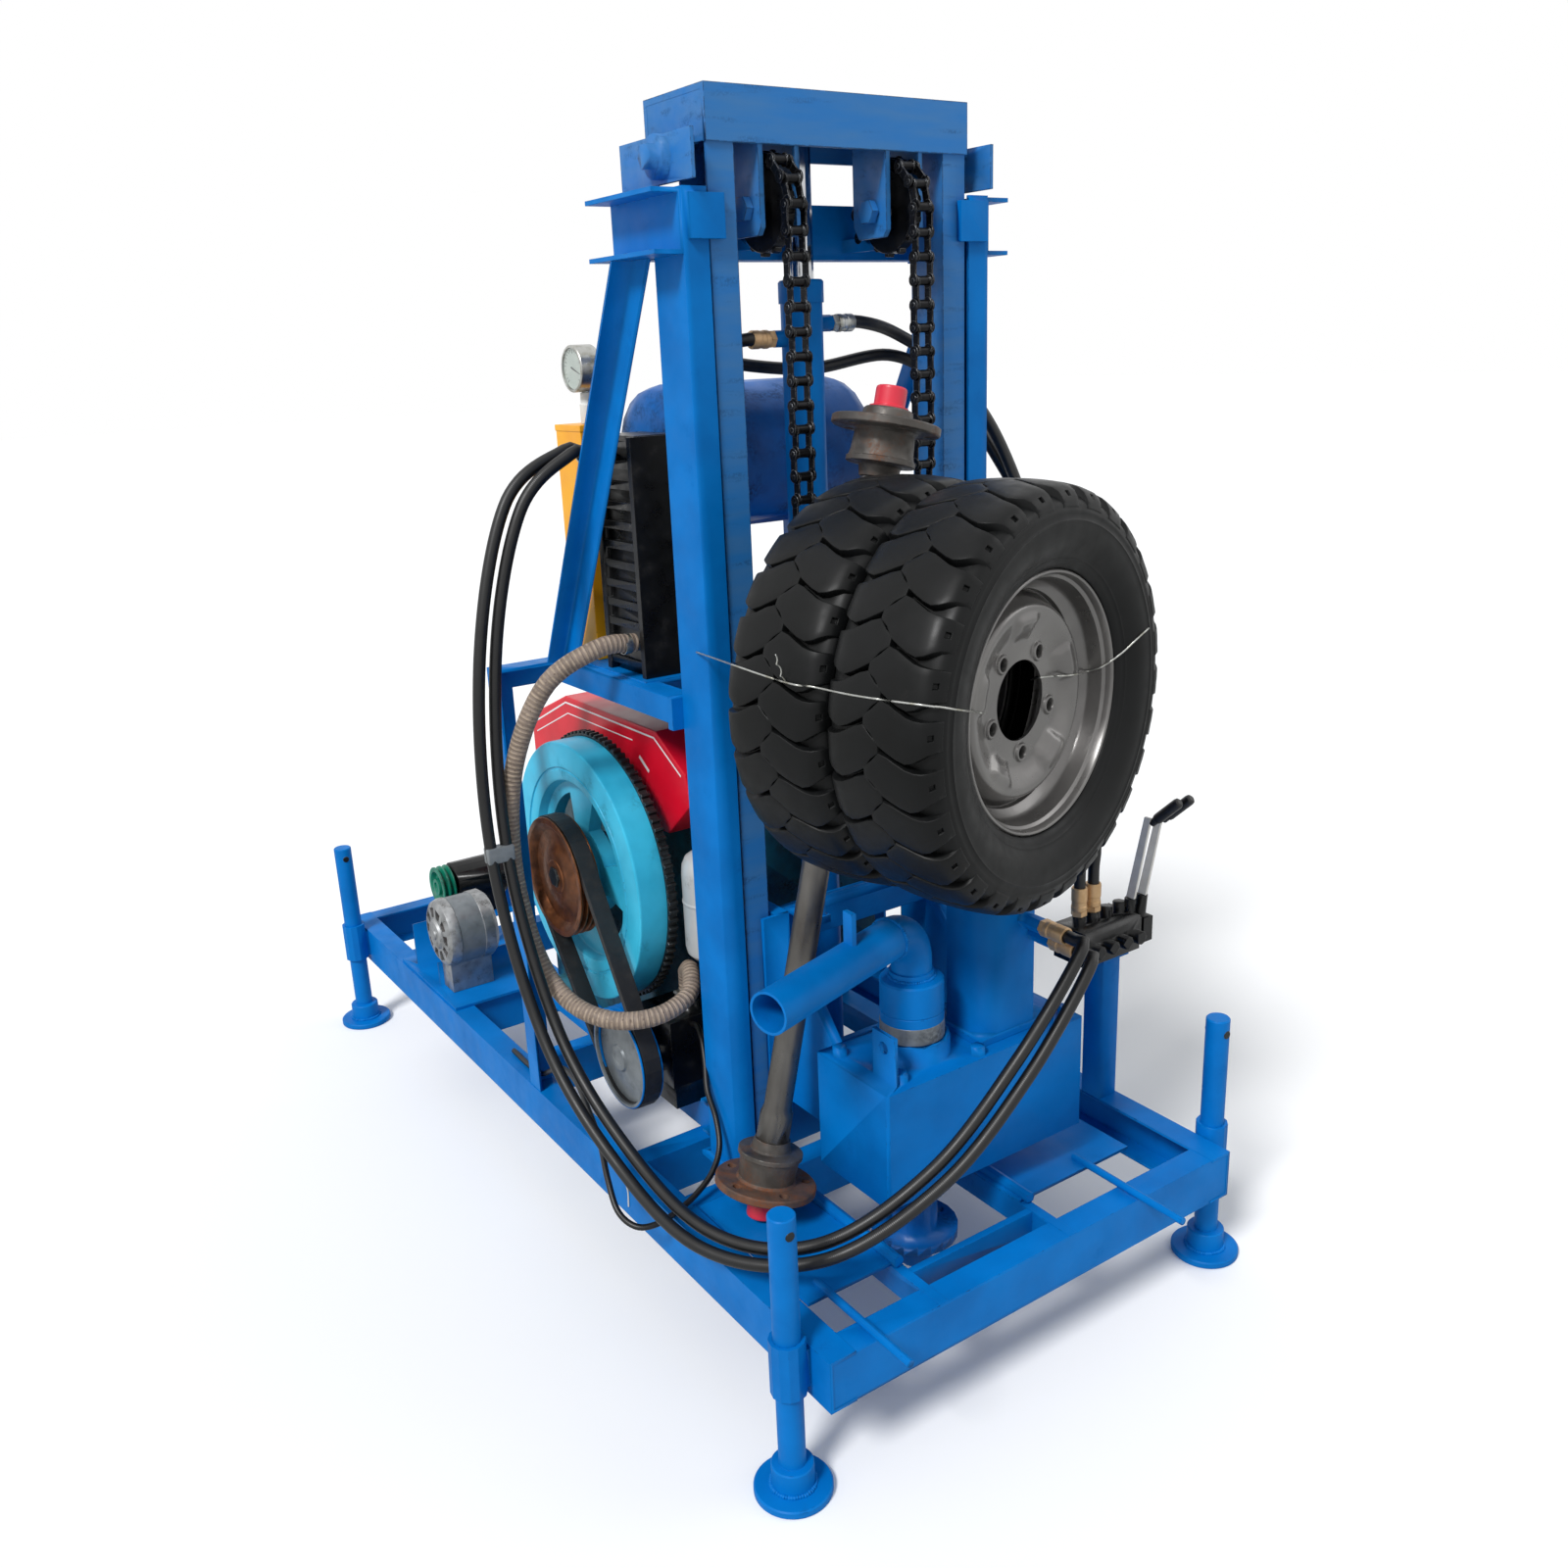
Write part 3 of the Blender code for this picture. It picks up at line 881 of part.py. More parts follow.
def swept(path, radius, count):
    # a round section carried along the points of a plane path
    bm = bmesh.new()
    rings = []
    side = None
    for i, point in enumerate(path):
        ahead = path[min(i + 1, len(path) - 1)] - path[max(i - 1, 0)]
        turn = frame_of(ahead)
        normal = Vector((-outlet_dir.y, outlet_dir.x, 0))
        up = ahead.normalized().cross(normal).normalized()
        rings.append([bm.verts.new(point + (normal * cos(tau * k / count) + up * sin(tau * k / count)) * radius)
                      for k in range(count)])
    for a, b in zip(rings, rings[1:]):
        for i in range(count):
            j = (i + 1) % count
            bm.faces.new((a[i], a[j], b[j], b[i]))
    bm.faces.new(rings[0])
    bm.faces.new(rings[-1])
    return finish(bm)


def outlet_path(start_z, reach):
    points = [Vector((corner.x, corner.y, start_z))]
    for i in range(5):
        a = (pi / 2) * i / 4
        points.append(corner + outlet_dir * (bend_r * (1 - cos(a))) + Vector((0, 0, bend_r * (sin(a) - 1))))
    points.append(corner + outlet_dir * reach)
    return points


SW_Z = HEAD_TOP + GAP
swivel = turned([(0, SW_Z), (0.0475, SW_Z), (0.0475, SW_Z + 0.118), (0.043, SW_Z + 0.122), (0.0295, SW_Z + 0.124),
                 (0.0295, SW_Z + 0.150), (0, SW_Z + 0.150)], 16)
placed(swivel, (SPINDLE_X, HEAD_MID_Y, 0))
tube = swept(outlet_path(SW_Z + 0.130, 0.330), PIPE_R, 12)
tab_at = corner + outlet_dir * 0.150
tab = box(tab_at.x - 0.004, tab_at.x + 0.004, tab_at.y - 0.010, tab_at.y + 0.010, tab_at.z + PIPE_R - 0.003, tab_at.z + PIPE_R + 0.045)
body = union(swivel, tube, tab)
bore = swept(outlet_path(SW_Z + 0.152, 0.340), PIPE_R - PIPE_WALL, 12)
node("water_swivel", cut(body, bore), "blue_paint", (SPINDLE_X, HEAD_MID_Y, HEAD_TOP), head_joint)

spin = joint("spindle_axis", (SPINDLE_X, HEAD_MID_Y, FLANGE_Z), head_joint)
top = HEAD_Z - 0.012 - GAP
spindle = turned([(0, THREAD_BOTTOM), (THREAD_R - 0.002, THREAD_BOTTOM), (THREAD_R, THREAD_BOTTOM + 0.004), (THREAD_R, FLANGE_Z - 0.018),
                  (0.036, FLANGE_Z - 0.018), (0.036, FLANGE_Z), (FLANGE_R, FLANGE_Z), (FLANGE_R, FLANGE_Z + FLANGE_T),
                  (0.036, FLANGE_Z + FLANGE_T), (0.034, top), (0, top)], 20)
placed(spindle, (SPINDLE_X, HEAD_MID_Y, 0))
pin_hole = rod((SPINDLE_X + 0.050, HEAD_MID_Y, FLANGE_Z - 0.01), (SPINDLE_X + 0.050, HEAD_MID_Y, FLANGE_Z + 0.03), 0.008, 8)
node("spindle", cut(spindle, pin_hole), "blue_paint", (SPINDLE_X, HEAD_MID_Y, FLANGE_Z), spin)

# ---------------------------------------------------------------- stowed wheels

wheel_axis = Vector((sin(WHEEL_TURN), -cos(WHEEL_TURN), 0))
wheel_turn = frame_of(wheel_axis)


def tyre_mesh():
    # each section runs from bead to bead over the tread; the tread points rise and fall with the lugs
    half = TYRE_W / 2
    base = TYRE_R - TREAD_DEPTH
    section = ((0.056, BEAD_R, 0), (half, 0.218, 0), (0.0785, 0.250, 0), (0.0700, base, 1), (0.0070, base, 1),
               (-0.0070, base, -1), (-0.0700, base, -1), (-0.0785, 0.250, 0), (-half, 0.218, 0), (-0.056, BEAD_R, 0))
    steps = LUGS * 3
    bm = bmesh.new()
    rings = []
    for i in range(steps):
        a = tau * i / steps
        ring = []
        for z, r, rides in section:
            if rides:
                low = 2 if rides > 0 else 1
                if i % 3 != low:
                    r = TYRE_R
            ring.append(bm.verts.new((r * cos(a), r * sin(a), z)))
        rings.append(ring)
    for i in range(steps):
        a, b = rings[i], rings[(i + 1) % steps]
        for k in range(len(section)):
            j = (k + 1) % len(section)
            bm.faces.new((a[k], a[j], b[j], b[k]))
    return finish(bm)


def rim_mesh():
    seat = BEAD_R - GAP * 3
    wall = 0.004
    profile = [(seat - wall, -0.0560), (seat, -0.0560), (seat, 0.0560), (seat - wall, 0.0560), (seat - wall, 0.018),
               (0.140, 0.012), (0.120, 0.034), (0.074, 0.022), (0.046, 0.022), (0.046, 0.017), (0.074, 0.017),
               (0.118, 0.029), (0.140, 0.007), (seat - wall, 0.011)]
    rim = turned(profile, 20, closed=True)
    holes = [rod((0.0585 * cos(tau * (i + 0.2) / 5), 0.0585 * sin(tau * (i + 0.2) / 5), 0.0), (0.0585 * cos(tau * (i + 0.2) / 5), 0.0585 * sin(tau * (i + 0.2) / 5), 0.05), 0.0075, 6)
             for i in range(5)]
    return cut(rim, *holes)


WHEELS = (("front", 0.5), ("rear", 1.5))
rim_shape = rim_mesh()
tyre_shape = tyre_mesh()
for name, widths in WHEELS:
    centre = WHEEL_FACE - wheel_axis * (widths * (TYRE_W + GAP * 2))
    for kind, shape, finish_name in (("tyre", tyre_shape, "tyre_rubber"), ("rim", rim_shape, "rim_silver")):
        copy = shape.copy()
        placed(copy, centre, wheel_turn)
        node("%s_%s" % (kind, name), copy, finish_name, centre, head_joint)

# axle tube with a hub on each end
axle_dir = (AXLE_HIGH - AXLE_LOW).normalized()
axle_length = (AXLE_HIGH - AXLE_LOW).length
axle_turn = frame_of(axle_dir)
HUB_L = 0.125
tube = turned([(0, HUB_L + GAP), (AXLE_R + 0.004, HUB_L + GAP), (AXLE_R + 0.004, HUB_L + 0.040), (AXLE_R, HUB_L + 0.052),
               (AXLE_R, axle_length - HUB_L - 0.052), (AXLE_R + 0.004, axle_length - HUB_L - 0.040),
               (AXLE_R + 0.004, axle_length - HUB_L - GAP), (0, axle_length - HUB_L - GAP)], 12)
placed(tube, AXLE_LOW, axle_turn)
node("axle_tube", tube, "cast_iron", AXLE_LOW, head_joint)
for name, at, turn in (("lower", AXLE_LOW, axle_turn), ("upper", AXLE_HIGH, frame_of(-axle_dir))):
    hub_joint = joint("hub_" + name, at, head_joint)
    hub = turned([(0, 0), (0.017, 0), (0.022, 0.004), (0.022, 0.030), (0.034, 0.031), (0.037, 0.046), (HUB_R, 0.047), (HUB_R, 0.060),
                  (CUP_R, 0.062), (CUP_R + 0.003, 0.098), (CUP_R + 0.006, 0.100), (CUP_R + 0.006, 0.107), (0.030, 0.110),
                  (0.027, HUB_L), (0, HUB_L)], 18)
    placed(hub, at, turn)
    node("hub_" + name + "_end", hub, "cast_iron", at, hub_joint)

# ---------------------------------------------------------------- hoses and cable


def smooth_route(route, spacing, end_length):
    # points at an even spacing along a smooth curve through the route's points
    pts = [Vector(p) for p in route]
    ends = [pts[0] * 2 - pts[1]] + pts + [pts[-1] * 2 - pts[-2]]
    fine = []
    for i in range(1, len(ends) - 2):
        p0, p1, p2, p3 = ends[i - 1:i + 3]
        for k in range(24):
            t = k / 24
            fine.append(0.5 * ((2 * p1) + (p2 - p0) * t + (2 * p0 - 5 * p1 + 4 * p2 - p3) * t * t
                               + (3 * p1 - p0 - 3 * p2 + p3) * t ** 3))
    fine.append(pts[-1])
    total = sum((b - a).length for a, b in zip(fine, fine[1:]))
    count = max(4, min(78, round(total / spacing)))
    step = total / count
    result, walked, target = [fine[0]], 0.0, step
    for a, b in zip(fine, fine[1:]):
        length = (b - a).length
        while walked + length >= target - 1e-9 and len(result) < count:
            result.append(a.lerp(b, (target - walked) / length))
            target += step
        walked += length
    # short straight stretches square the ends to their fittings
    for end, following in ((0, pts[1]), (-1, pts[-2])):
        straight = fine[end] + (following - fine[end]).normalized() * end_length
        if end == 0:
            result.insert(1, straight)
        else:
            result.append(straight)
    result.append(fine[-1])
    return result


def cord(name, route, radius, finish_name, resolution=2):
    points = smooth_route(route, radius * 6, radius * 1.6)
    curve = bpy.data.curves.new(name, "CURVE")
    curve.dimensions = "3D"
    curve.bevel_depth = radius
    curve.bevel_resolution = resolution
    curve.use_fill_caps = True
    spline = curve.splines.new("POLY")
    spline.points.add(len(points) - 1)
    for item, point in zip(spline.points, points):
        item.co = (*point, 1)
    curve.materials.append(PAINTS[finish_name])
    ob = bpy.data.objects.new(name, curve)
    bpy.context.scene.collection.objects.link(ob)
    return ob


HOSE_R = 0.0095
end_y = my0 - 0.040 - GAP
# route of the first hose and the way the second lies beside it at each point
PAIR = (((-0.2568, -0.244, 1.345), (0.00, 0.022, 0.000)),
        ((-0.2800, -0.244, 1.345), (0.00, 0.022, 0.000)),
        ((-0.3100, -0.242, 1.348), (0.00, 0.024, 0.004)),
        ((-0.4000, -0.240, 1.270), (-0.016, 0.014, 0.012)),
        ((-0.4600, -0.235, 1.050), (-0.026, 0.000, 0.000)),
        ((-0.4750, -0.240, 0.750), (-0.026, 0.000, 0.000)),
        ((-0.4600, -0.330, 0.480), (-0.025, 0.000, -0.008)),
        ((-0.4400, -0.500, 0.340), (-0.022, 0.000, -0.014)),
        ((-0.4150, -0.700, 0.290), (-0.022, -0.008, -0.012)),
        ((-0.3300, -0.845, 0.315), (-0.010, -0.020, -0.010)),
        ((-0.1800, -0.905, 0.400), (0.000, -0.020, -0.014)),
        ((-0.0400, -0.925, 0.530), (0.006, -0.014, -0.024)))
for i, (px, pz) in enumerate(PORT_XZ):
    route = [tuple(a + i * b for a, b in zip(at, beside)) for at, beside in PAIR]
    route += [(px - 0.012, -0.925, pz - 0.010), (px, end_y - 0.060, pz), (px, end_y, pz)]
    cord("motor_hose_%d" % (i + 1), route, HOSE_R, "hose_rubber")
cord("suction_hose", [(-0.2565, -0.300, 1.062), (-0.320, -0.300, 1.062), (-0.400, -0.270, 1.010), (-0.446, -0.230, 0.880), (-0.455, -0.210, 0.720),
                      (-0.446, -0.240, 0.580), (-0.428, -0.300, 0.510), (-0.395, -0.375, 0.490), (-0.335, -0.420, 0.492), (-0.268, -0.415, 0.506),
                      (-0.234, -0.368, 0.524), (SUCTION_X - 0.001, SUCTION_Y - 0.002, 0.508), (SUCTION_X, SUCTION_Y, 0.490),
                      (SUCTION_X, SUCTION_Y, 0.474), (SUCTION_X, SUCTION_Y, PUMP_Z + 0.078 + GAP)],
     0.0145, "braided_hose")
for i, (side, z) in enumerate(PORTS):
    x_end = VALVE_X - 0.060 + 0.032 * i
    if side > 0:
        route = [(0.0523, CYL_Y, z), (0.112, CYL_Y, z)]
    else:
        route = [(-0.0523, CYL_Y, z), (-0.105, CYL_Y, z), (-0.130, CYL_Y + 0.045, z - 0.012), (-0.080, CYL_Y + 0.085, z - 0.030), (0.060, CYL_Y + 0.070, z - 0.045)]
    route += [(0.200, CYL_Y + 0.020 + 0.022 * i, z - 0.020 - 0.010 * i), (0.300, CYL_Y + 0.010 + 0.022 * i, z - 0.080),
              (0.350 + 0.010 * i, CYL_Y - 0.050 + 0.022 * i, z - 0.190), (0.375 + 0.024 * i, CYL_Y - 0.110, z - 0.360),
              (x_end + 0.030, VALVE_Y + 0.090, 0.900), (x_end + 0.002, VALVE_Y + 0.004, 0.720), (x_end, VALVE_Y, 0.650), (x_end, VALVE_Y, VALVE_Z + 0.078 + GAP)]
    cord("lift_hose_%d" % (i + 1), route, HOSE_R, "hose_rubber")

# the whole rig moves to the middle of its outline
for ob in bpy.data.objects:
    if ob.parent is None:
        ob.location.y += MIDDLE_Y
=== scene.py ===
# %% [markdown]
# # A small water well drilling rig in blue enamel
# The rig is a hand-welded machine of channel steel, sprayed blue after assembly, with a bought engine,
# pump, tyres and hoses bolted on. This lesson dresses its measured model. Steel that is flat and straight
# keeps the model's own mesh and only gets a finish; what is round, cast or rolled is made again, finer.

# %% Load the measured model
import math

import bmesh
import bpy
from mathutils import Matrix, Vector
from mathutils.bvhtree import BVHTree


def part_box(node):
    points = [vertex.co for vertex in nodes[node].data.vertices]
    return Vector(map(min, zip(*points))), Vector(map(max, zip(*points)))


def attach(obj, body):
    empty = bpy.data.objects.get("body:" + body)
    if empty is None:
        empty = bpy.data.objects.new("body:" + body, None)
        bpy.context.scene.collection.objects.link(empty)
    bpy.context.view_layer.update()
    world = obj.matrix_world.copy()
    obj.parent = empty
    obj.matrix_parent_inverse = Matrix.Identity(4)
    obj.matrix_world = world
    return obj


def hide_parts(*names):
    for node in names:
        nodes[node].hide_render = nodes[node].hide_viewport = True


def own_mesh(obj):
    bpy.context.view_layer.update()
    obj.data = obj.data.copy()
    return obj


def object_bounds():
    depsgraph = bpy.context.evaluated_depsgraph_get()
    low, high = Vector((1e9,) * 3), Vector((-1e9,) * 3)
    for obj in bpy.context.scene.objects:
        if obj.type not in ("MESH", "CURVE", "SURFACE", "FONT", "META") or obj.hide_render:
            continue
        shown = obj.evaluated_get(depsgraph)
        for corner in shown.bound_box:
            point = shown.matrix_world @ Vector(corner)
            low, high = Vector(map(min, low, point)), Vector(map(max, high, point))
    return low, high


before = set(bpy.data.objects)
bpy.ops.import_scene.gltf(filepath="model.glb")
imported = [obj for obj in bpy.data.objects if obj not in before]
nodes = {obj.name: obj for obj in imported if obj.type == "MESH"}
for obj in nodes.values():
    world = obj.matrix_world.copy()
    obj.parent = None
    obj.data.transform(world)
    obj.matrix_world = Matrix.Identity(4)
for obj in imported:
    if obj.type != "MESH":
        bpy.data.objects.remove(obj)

cad_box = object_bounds()
# from the plan, whose middle is the middle of the base frame, to the model's own place
FORWARD = Matrix.Translation((0, 0.0465, 0))
print("the model has", len(nodes), "nodes and reaches", [round(v, 3) for v in cad_box[1]])

# %% [markdown]
# ## The camera
# A product photograph is taken from a little above, with a normal lens. The place, the heading and the
# slight lean of the camera were solved from the long edges of the base frame, so they are set as numbers
# here and not found by eye.

# %% Place the camera
FOCAL, PHOTO_SIDE, SENSOR = 1402.0, 1600, 36


def place_camera():
    heading, down, lean = (math.radians(v) for v in (-34.0115, 17.5378, -2.3699))
    back = Vector((math.sin(heading) * math.cos(down), -math.cos(heading) * math.cos(down), math.sin(down)))
    right = (-back).cross(Vector((0, 0, 1))).normalized()
    up = right.cross(-back)
    across = math.cos(lean) * right + math.sin(lean) * up
    upward = -math.sin(lean) * right + math.cos(lean) * up
    lens = bpy.data.cameras.new("camera")
    lens.sensor_fit = "HORIZONTAL"
    lens.sensor_width = SENSOR
    lens.lens = FOCAL / PHOTO_SIDE * SENSOR
    holder = bpy.data.objects.new("camera", lens)
    holder.matrix_world = Matrix((
        (across.x, upward.x, back.x, -1.2450),
        (across.y, upward.y, back.y, -2.1159),
        (across.z, upward.z, back.z, 1.4850),
        (0, 0, 0, 1)))
    bpy.context.scene.collection.objects.link(holder)
    bpy.context.scene.camera = holder
    return holder


camera = place_camera()
print("lens", round(camera.data.lens, 2), "mm")

# %% [markdown]
# ## Small tools for materials
# A finish is a handful of nodes: a colour that varies over a hand's breadth, a fine bump, and wear where
# two faces meet. One function adds a node with its settings and its links, so that each finish reads as
# a list of what it does. Colours are written as the eye sees them on a screen and turned to linear light.

# %% Nodes and colours
def linear(code):
    parts = [int(code[i:i + 2], 16) / 255 for i in (1, 3, 5)]
    return tuple(c / 12.92 if c <= 0.04045 else ((c + 0.055) / 1.055) ** 2.4 for c in parts) + (1.0,)


def add(tree, kind, inputs=None, **settings):
    node = tree.nodes.new(kind)
    for name, value in settings.items():
        setattr(node, name, value)
    for name, value in (inputs or {}).items():
        if isinstance(value, bpy.types.NodeSocket):
            tree.links.new(value, node.inputs[name])
        else:
            node.inputs[name].default_value = value
    return node


def blank(name, place="Object"):
    material = bpy.data.materials.new(name)
    material.use_nodes = True
    tree = material.node_tree
    tree.nodes.clear()
    shader = add(tree, "ShaderNodeBsdfPrincipled")
    add(tree, "ShaderNodeOutputMaterial", {"Surface": shader.outputs[0]})
    where = add(tree, "ShaderNodeTexCoord").outputs[place]
    return material, tree, shader, where


def spread(tree, where, size_mm, low, high, detail=4.0, squeeze=(1, 1, 1)):
    """A noise of that grain, pulled apart so that it runs from 0 to 1 between low and high."""
    scaled = add(tree, "ShaderNodeMapping", {"Vector": where, "Scale": squeeze}).outputs[0]
    noise = add(tree, "ShaderNodeTexNoise", {"Vector": scaled, "Scale": 1000 / size_mm, "Detail": detail})
    return add(tree, "ShaderNodeMapRange", {"Value": noise.outputs[0], 1: low, 2: high}).outputs[0]


def blended(tree, share, first, second):
    mix = add(tree, "ShaderNodeMix", {0: share, 6: first, 7: second}, data_type="RGBA")
    return mix.outputs[2]


def multiplied(tree, a, b, operation="MULTIPLY"):
    return add(tree, "ShaderNodeMath", {0: a, 1: b}, operation=operation).outputs[0]


def bumped(tree, heights, depth_mm, normal=None):
    """The normal, bent by heights of that depth, on top of an earlier bend if there is one."""
    before = {} if normal is None else {"Normal": normal}
    return add(tree, "ShaderNodeBump", {"Height": heights, "Distance": depth_mm / 1000} | before).outputs[0]


# %% [markdown]
# ## Sprayed, cast and rolled finishes
# Most of the rig's finishes differ only in numbers: the two colours they drift between, how coarse the
# grain is, how shiny they are, what shows where an edge is rubbed bare, and what dirt lies in them.
# So one function takes these numbers. Worn edges are found by comparing the true face with a version
# whose corners are rounded over a millimetre or two, which also softens the light on every corner.

# %% The general finish
def finish(name, base, shade, rough, drift_mm=90, grain_mm=1.5, grain_depth=0.03, metallic=0.0,
           coat=0.0, coat_rough=0.1, bare=None, bare_share=0.5, bare_mm=2.0, dirt=None, dirt_from=0.55,
           dirt_mm=60, streaks=(1, 1, 1), round_mm=1.2, wave_mm=0, wave_depth=0.0, gloss=0.5):
    material, tree, shader, where = blank(name)
    drift = spread(tree, where, drift_mm, 0.35, 0.68, squeeze=streaks)
    colour = blended(tree, drift, linear(base), linear(shade))
    softened = add(tree, "ShaderNodeBevel", {"Radius": round_mm / 1000}, samples=4).outputs[0]
    rough_now = add(tree, "ShaderNodeMapRange", {
        "Value": spread(tree, where, drift_mm / 3, 0.3, 0.7), 3: rough[0], 4: rough[1]}).outputs[0]
    if dirt:
        mask = spread(tree, where, dirt_mm, dirt_from, dirt_from + 0.22, 6.0, streaks)
        fine = spread(tree, where, dirt_mm / 12, 0.35, 0.6, 3.0)
        mask = multiplied(tree, mask, fine)
        colour = blended(tree, mask, colour, linear(dirt))
        rough_now = multiplied(tree, rough_now, multiplied(tree, mask, 0.25), "ADD")
    if bare:
        wide = add(tree, "ShaderNodeBevel", {"Radius": bare_mm / 1000}, samples=4).outputs[0]
        true = add(tree, "ShaderNodeNewGeometry").outputs["Normal"]
        turn = add(tree, "ShaderNodeVectorMath", {0: wide, 1: true}, operation="DOT_PRODUCT").outputs["Value"]
        edge = add(tree, "ShaderNodeMapRange", {"Value": turn, 1: 0.985, 2: 0.86}).outputs[0]
        chips = spread(tree, where, 11, 0.72 - bare_share * 0.4, 0.80 - bare_share * 0.4, 5.0)
        colour = blended(tree, multiplied(tree, edge, chips), colour, linear(bare))
    heights = spread(tree, where, grain_mm, 0.0, 1.0, 2.0)
    normal = bumped(tree, heights, grain_depth, softened)
    if wave_mm:
        normal = bumped(tree, spread(tree, where, wave_mm, 0.0, 1.0, 1.0), wave_depth, normal)
    tree.links.new(normal, shader.inputs["Normal"])
    tree.links.new(colour, shader.inputs["Base Color"])
    tree.links.new(rough_now, shader.inputs["Roughness"])
    shader.inputs["Metallic"].default_value = metallic
    shader.inputs["Coat Weight"].default_value = coat
    shader.inputs["Coat Roughness"].default_value = coat_rough
    shader.inputs["Specular IOR Level"].default_value = gloss
    return material


# %% [markdown]
# Sprayed enamel over mill steel: a saturated blue with a slight orange peel, duller where the spray was
# thin, and knocked bare on its corners. The top beam and the mast heads are handled with slings, so their
# blue is greyer and scratched. The hood's red is oven baked and shinier.

# %% Enamels
blue = finish("sprayed_blue_enamel", "#0076C8", "#0069B6", (0.38, 0.52), grain_mm=1.6, grain_depth=0.05,
              bare="#0E345E", bare_share=0.35, dirt="#005CA8", dirt_from=0.64, wave_mm=14, wave_depth=0.08,
              gloss=0.12)
scuffed = finish("scuffed_blue_enamel", "#2474BC", "#3A78B4", (0.38, 0.56), gloss=0.3, drift_mm=50,
                 grain_depth=0.06, bare="#20262C", bare_share=0.8, bare_mm=2.6, dirt="#1F4C7A",
                 dirt_from=0.56, dirt_mm=35, streaks=(0.35, 1, 2.2), wave_mm=10, wave_depth=0.12)
# A darker copy of the blue. Its darker colours and dark patches are painted shade for the hydraulic tank,
# which lies behind the mast. The spindle takes the same darker blue.
painted_shade_blue = finish("blue_enamel_with_painted_shade", "#0666B8", "#054F92", (0.30, 0.45), grain_depth=0.05, gloss=0.25,
                   bare="#16202A", bare_share=0.4, dirt="#07294B", dirt_from=0.5, wave_mm=9, wave_depth=0.16)
turquoise = finish("brushed_turquoise_enamel", "#3CC0E4", "#2AA2C6", (0.32, 0.46), gloss=0.35, bare="#2E4A55",
                   bare_share=0.35, dirt="#1B6F88", dirt_from=0.58, wave_mm=12, wave_depth=0.08)
teal = finish("oily_teal_enamel", "#0F6377", "#0A4655", (0.36, 0.62), drift_mm=45, bare="#1A2A30",
              bare_share=0.5, dirt="#12262C", dirt_from=0.45, dirt_mm=40, wave_mm=6, wave_depth=0.2)
red = finish("baked_red_enamel", "#E0102C", "#CC0B26", (0.30, 0.38), coat=0.12, coat_rough=0.15,
             gloss=0.25, grain_depth=0.01, wave_mm=40, wave_depth=0.10)
orange = finish("orange_enamel", "#FDB515", "#F4A417", (0.35, 0.48), bare="#7A5A20", bare_share=0.3,
                dirt="#B9791B", dirt_from=0.66)
green = finish("green_pulley_enamel", "#00876A", "#046B55", (0.30, 0.45), bare="#20302B", bare_share=0.5,
               dirt="#06352B", dirt_from=0.5, dirt_mm=25)
grey_enamel = finish("silver_grey_enamel", "#C9CACA", "#B4B6B7", (0.34, 0.48), metallic=0.25, bare="#5B5C5C",
                     bare_share=0.25, dirt="#76726B", dirt_from=0.6, wave_mm=18, wave_depth=0.08)
black_enamel = finish("black_gloss_enamel", "#0E0F11", "#08090A", (0.22, 0.42), gloss=0.35,
                      bare="#4A4B4C", bare_share=0.3, dirt="#2C2A27", dirt_from=0.6, dirt_mm=30)
print(len(bpy.data.materials), "finishes so far")

# %% [markdown]
# Bare and plated metals: cast hubs that were greased and left in the rain, the polished piston rod, zinc
# and brass hose fittings, oiled chain, cast aluminium and the copper-brown friction ring of the pulley.
# Metals keep their default index of refraction and take their colour from the base colour.

# %% Metals
casting = finish("greasy_grey_casting", "#5F5B57", "#45413D", (0.36, 0.66), drift_mm=35, grain_mm=1.1,
                 grain_depth=0.18, metallic=0.45, dirt="#6B4630", dirt_from=0.50, dirt_mm=38, bare="#8A8782",
                 bare_share=0.4)
rusty = finish("rusty_flange_casting", "#6B5244", "#4C3F38", (0.5, 0.75), drift_mm=22, grain_mm=0.9,
               grain_depth=0.22, metallic=0.3, dirt="#7E4A2A", dirt_from=0.40, dirt_mm=24)
tube_steel = finish("dark_rolled_tube", "#6E6C69", "#4C4946", (0.24, 0.44), drift_mm=60, metallic=0.75,
                    dirt="#4E453E", dirt_from=0.60, streaks=(1, 1, 0.25), grain_depth=0.05)
chain_black = finish("oiled_chain_steel", "#1C1C1E", "#0E0E10", (0.26, 0.44), metallic=0.7, grain_depth=0.02,
                     bare="#8D8F92", bare_share=0.75, bare_mm=0.8, drift_mm=20)
bright_plate = finish("bright_plated_bar", "#F0EDE6", "#E2DED6", (0.26, 0.38), metallic=0.0, drift_mm=30,
                      grain_depth=0.02)
polished = finish("polished_rod", "#C9CBCE", "#B8BABD", (0.08, 0.16), metallic=1.0, grain_depth=0.005)
zinc = finish("zinc_plate", "#C4C5C2", "#A9A9A2", (0.26, 0.40), metallic=0.95, drift_mm=14, dirt="#8C8468",
              dirt_from=0.55, dirt_mm=14, grain_depth=0.02)
brass = finish("yellow_brass", "#C8A24C", "#AD8636", (0.24, 0.38), metallic=0.95, drift_mm=12,
               grain_depth=0.02, dirt="#7D6030", dirt_from=0.6, dirt_mm=10)
alloy = finish("cast_aluminium", "#A9ABAC", "#8B8D8F", (0.36, 0.52), metallic=0.85, drift_mm=20, grain_mm=0.9,
               grain_depth=0.08, dirt="#4F4D49", dirt_from=0.50, dirt_mm=18)
dark_iron = finish("dark_machined_iron", "#34383A", "#24282A", (0.30, 0.48), metallic=0.7, drift_mm=25,
                   grain_depth=0.04, dirt="#3C322A", dirt_from=0.6, bare="#7C7E80", bare_share=0.45)
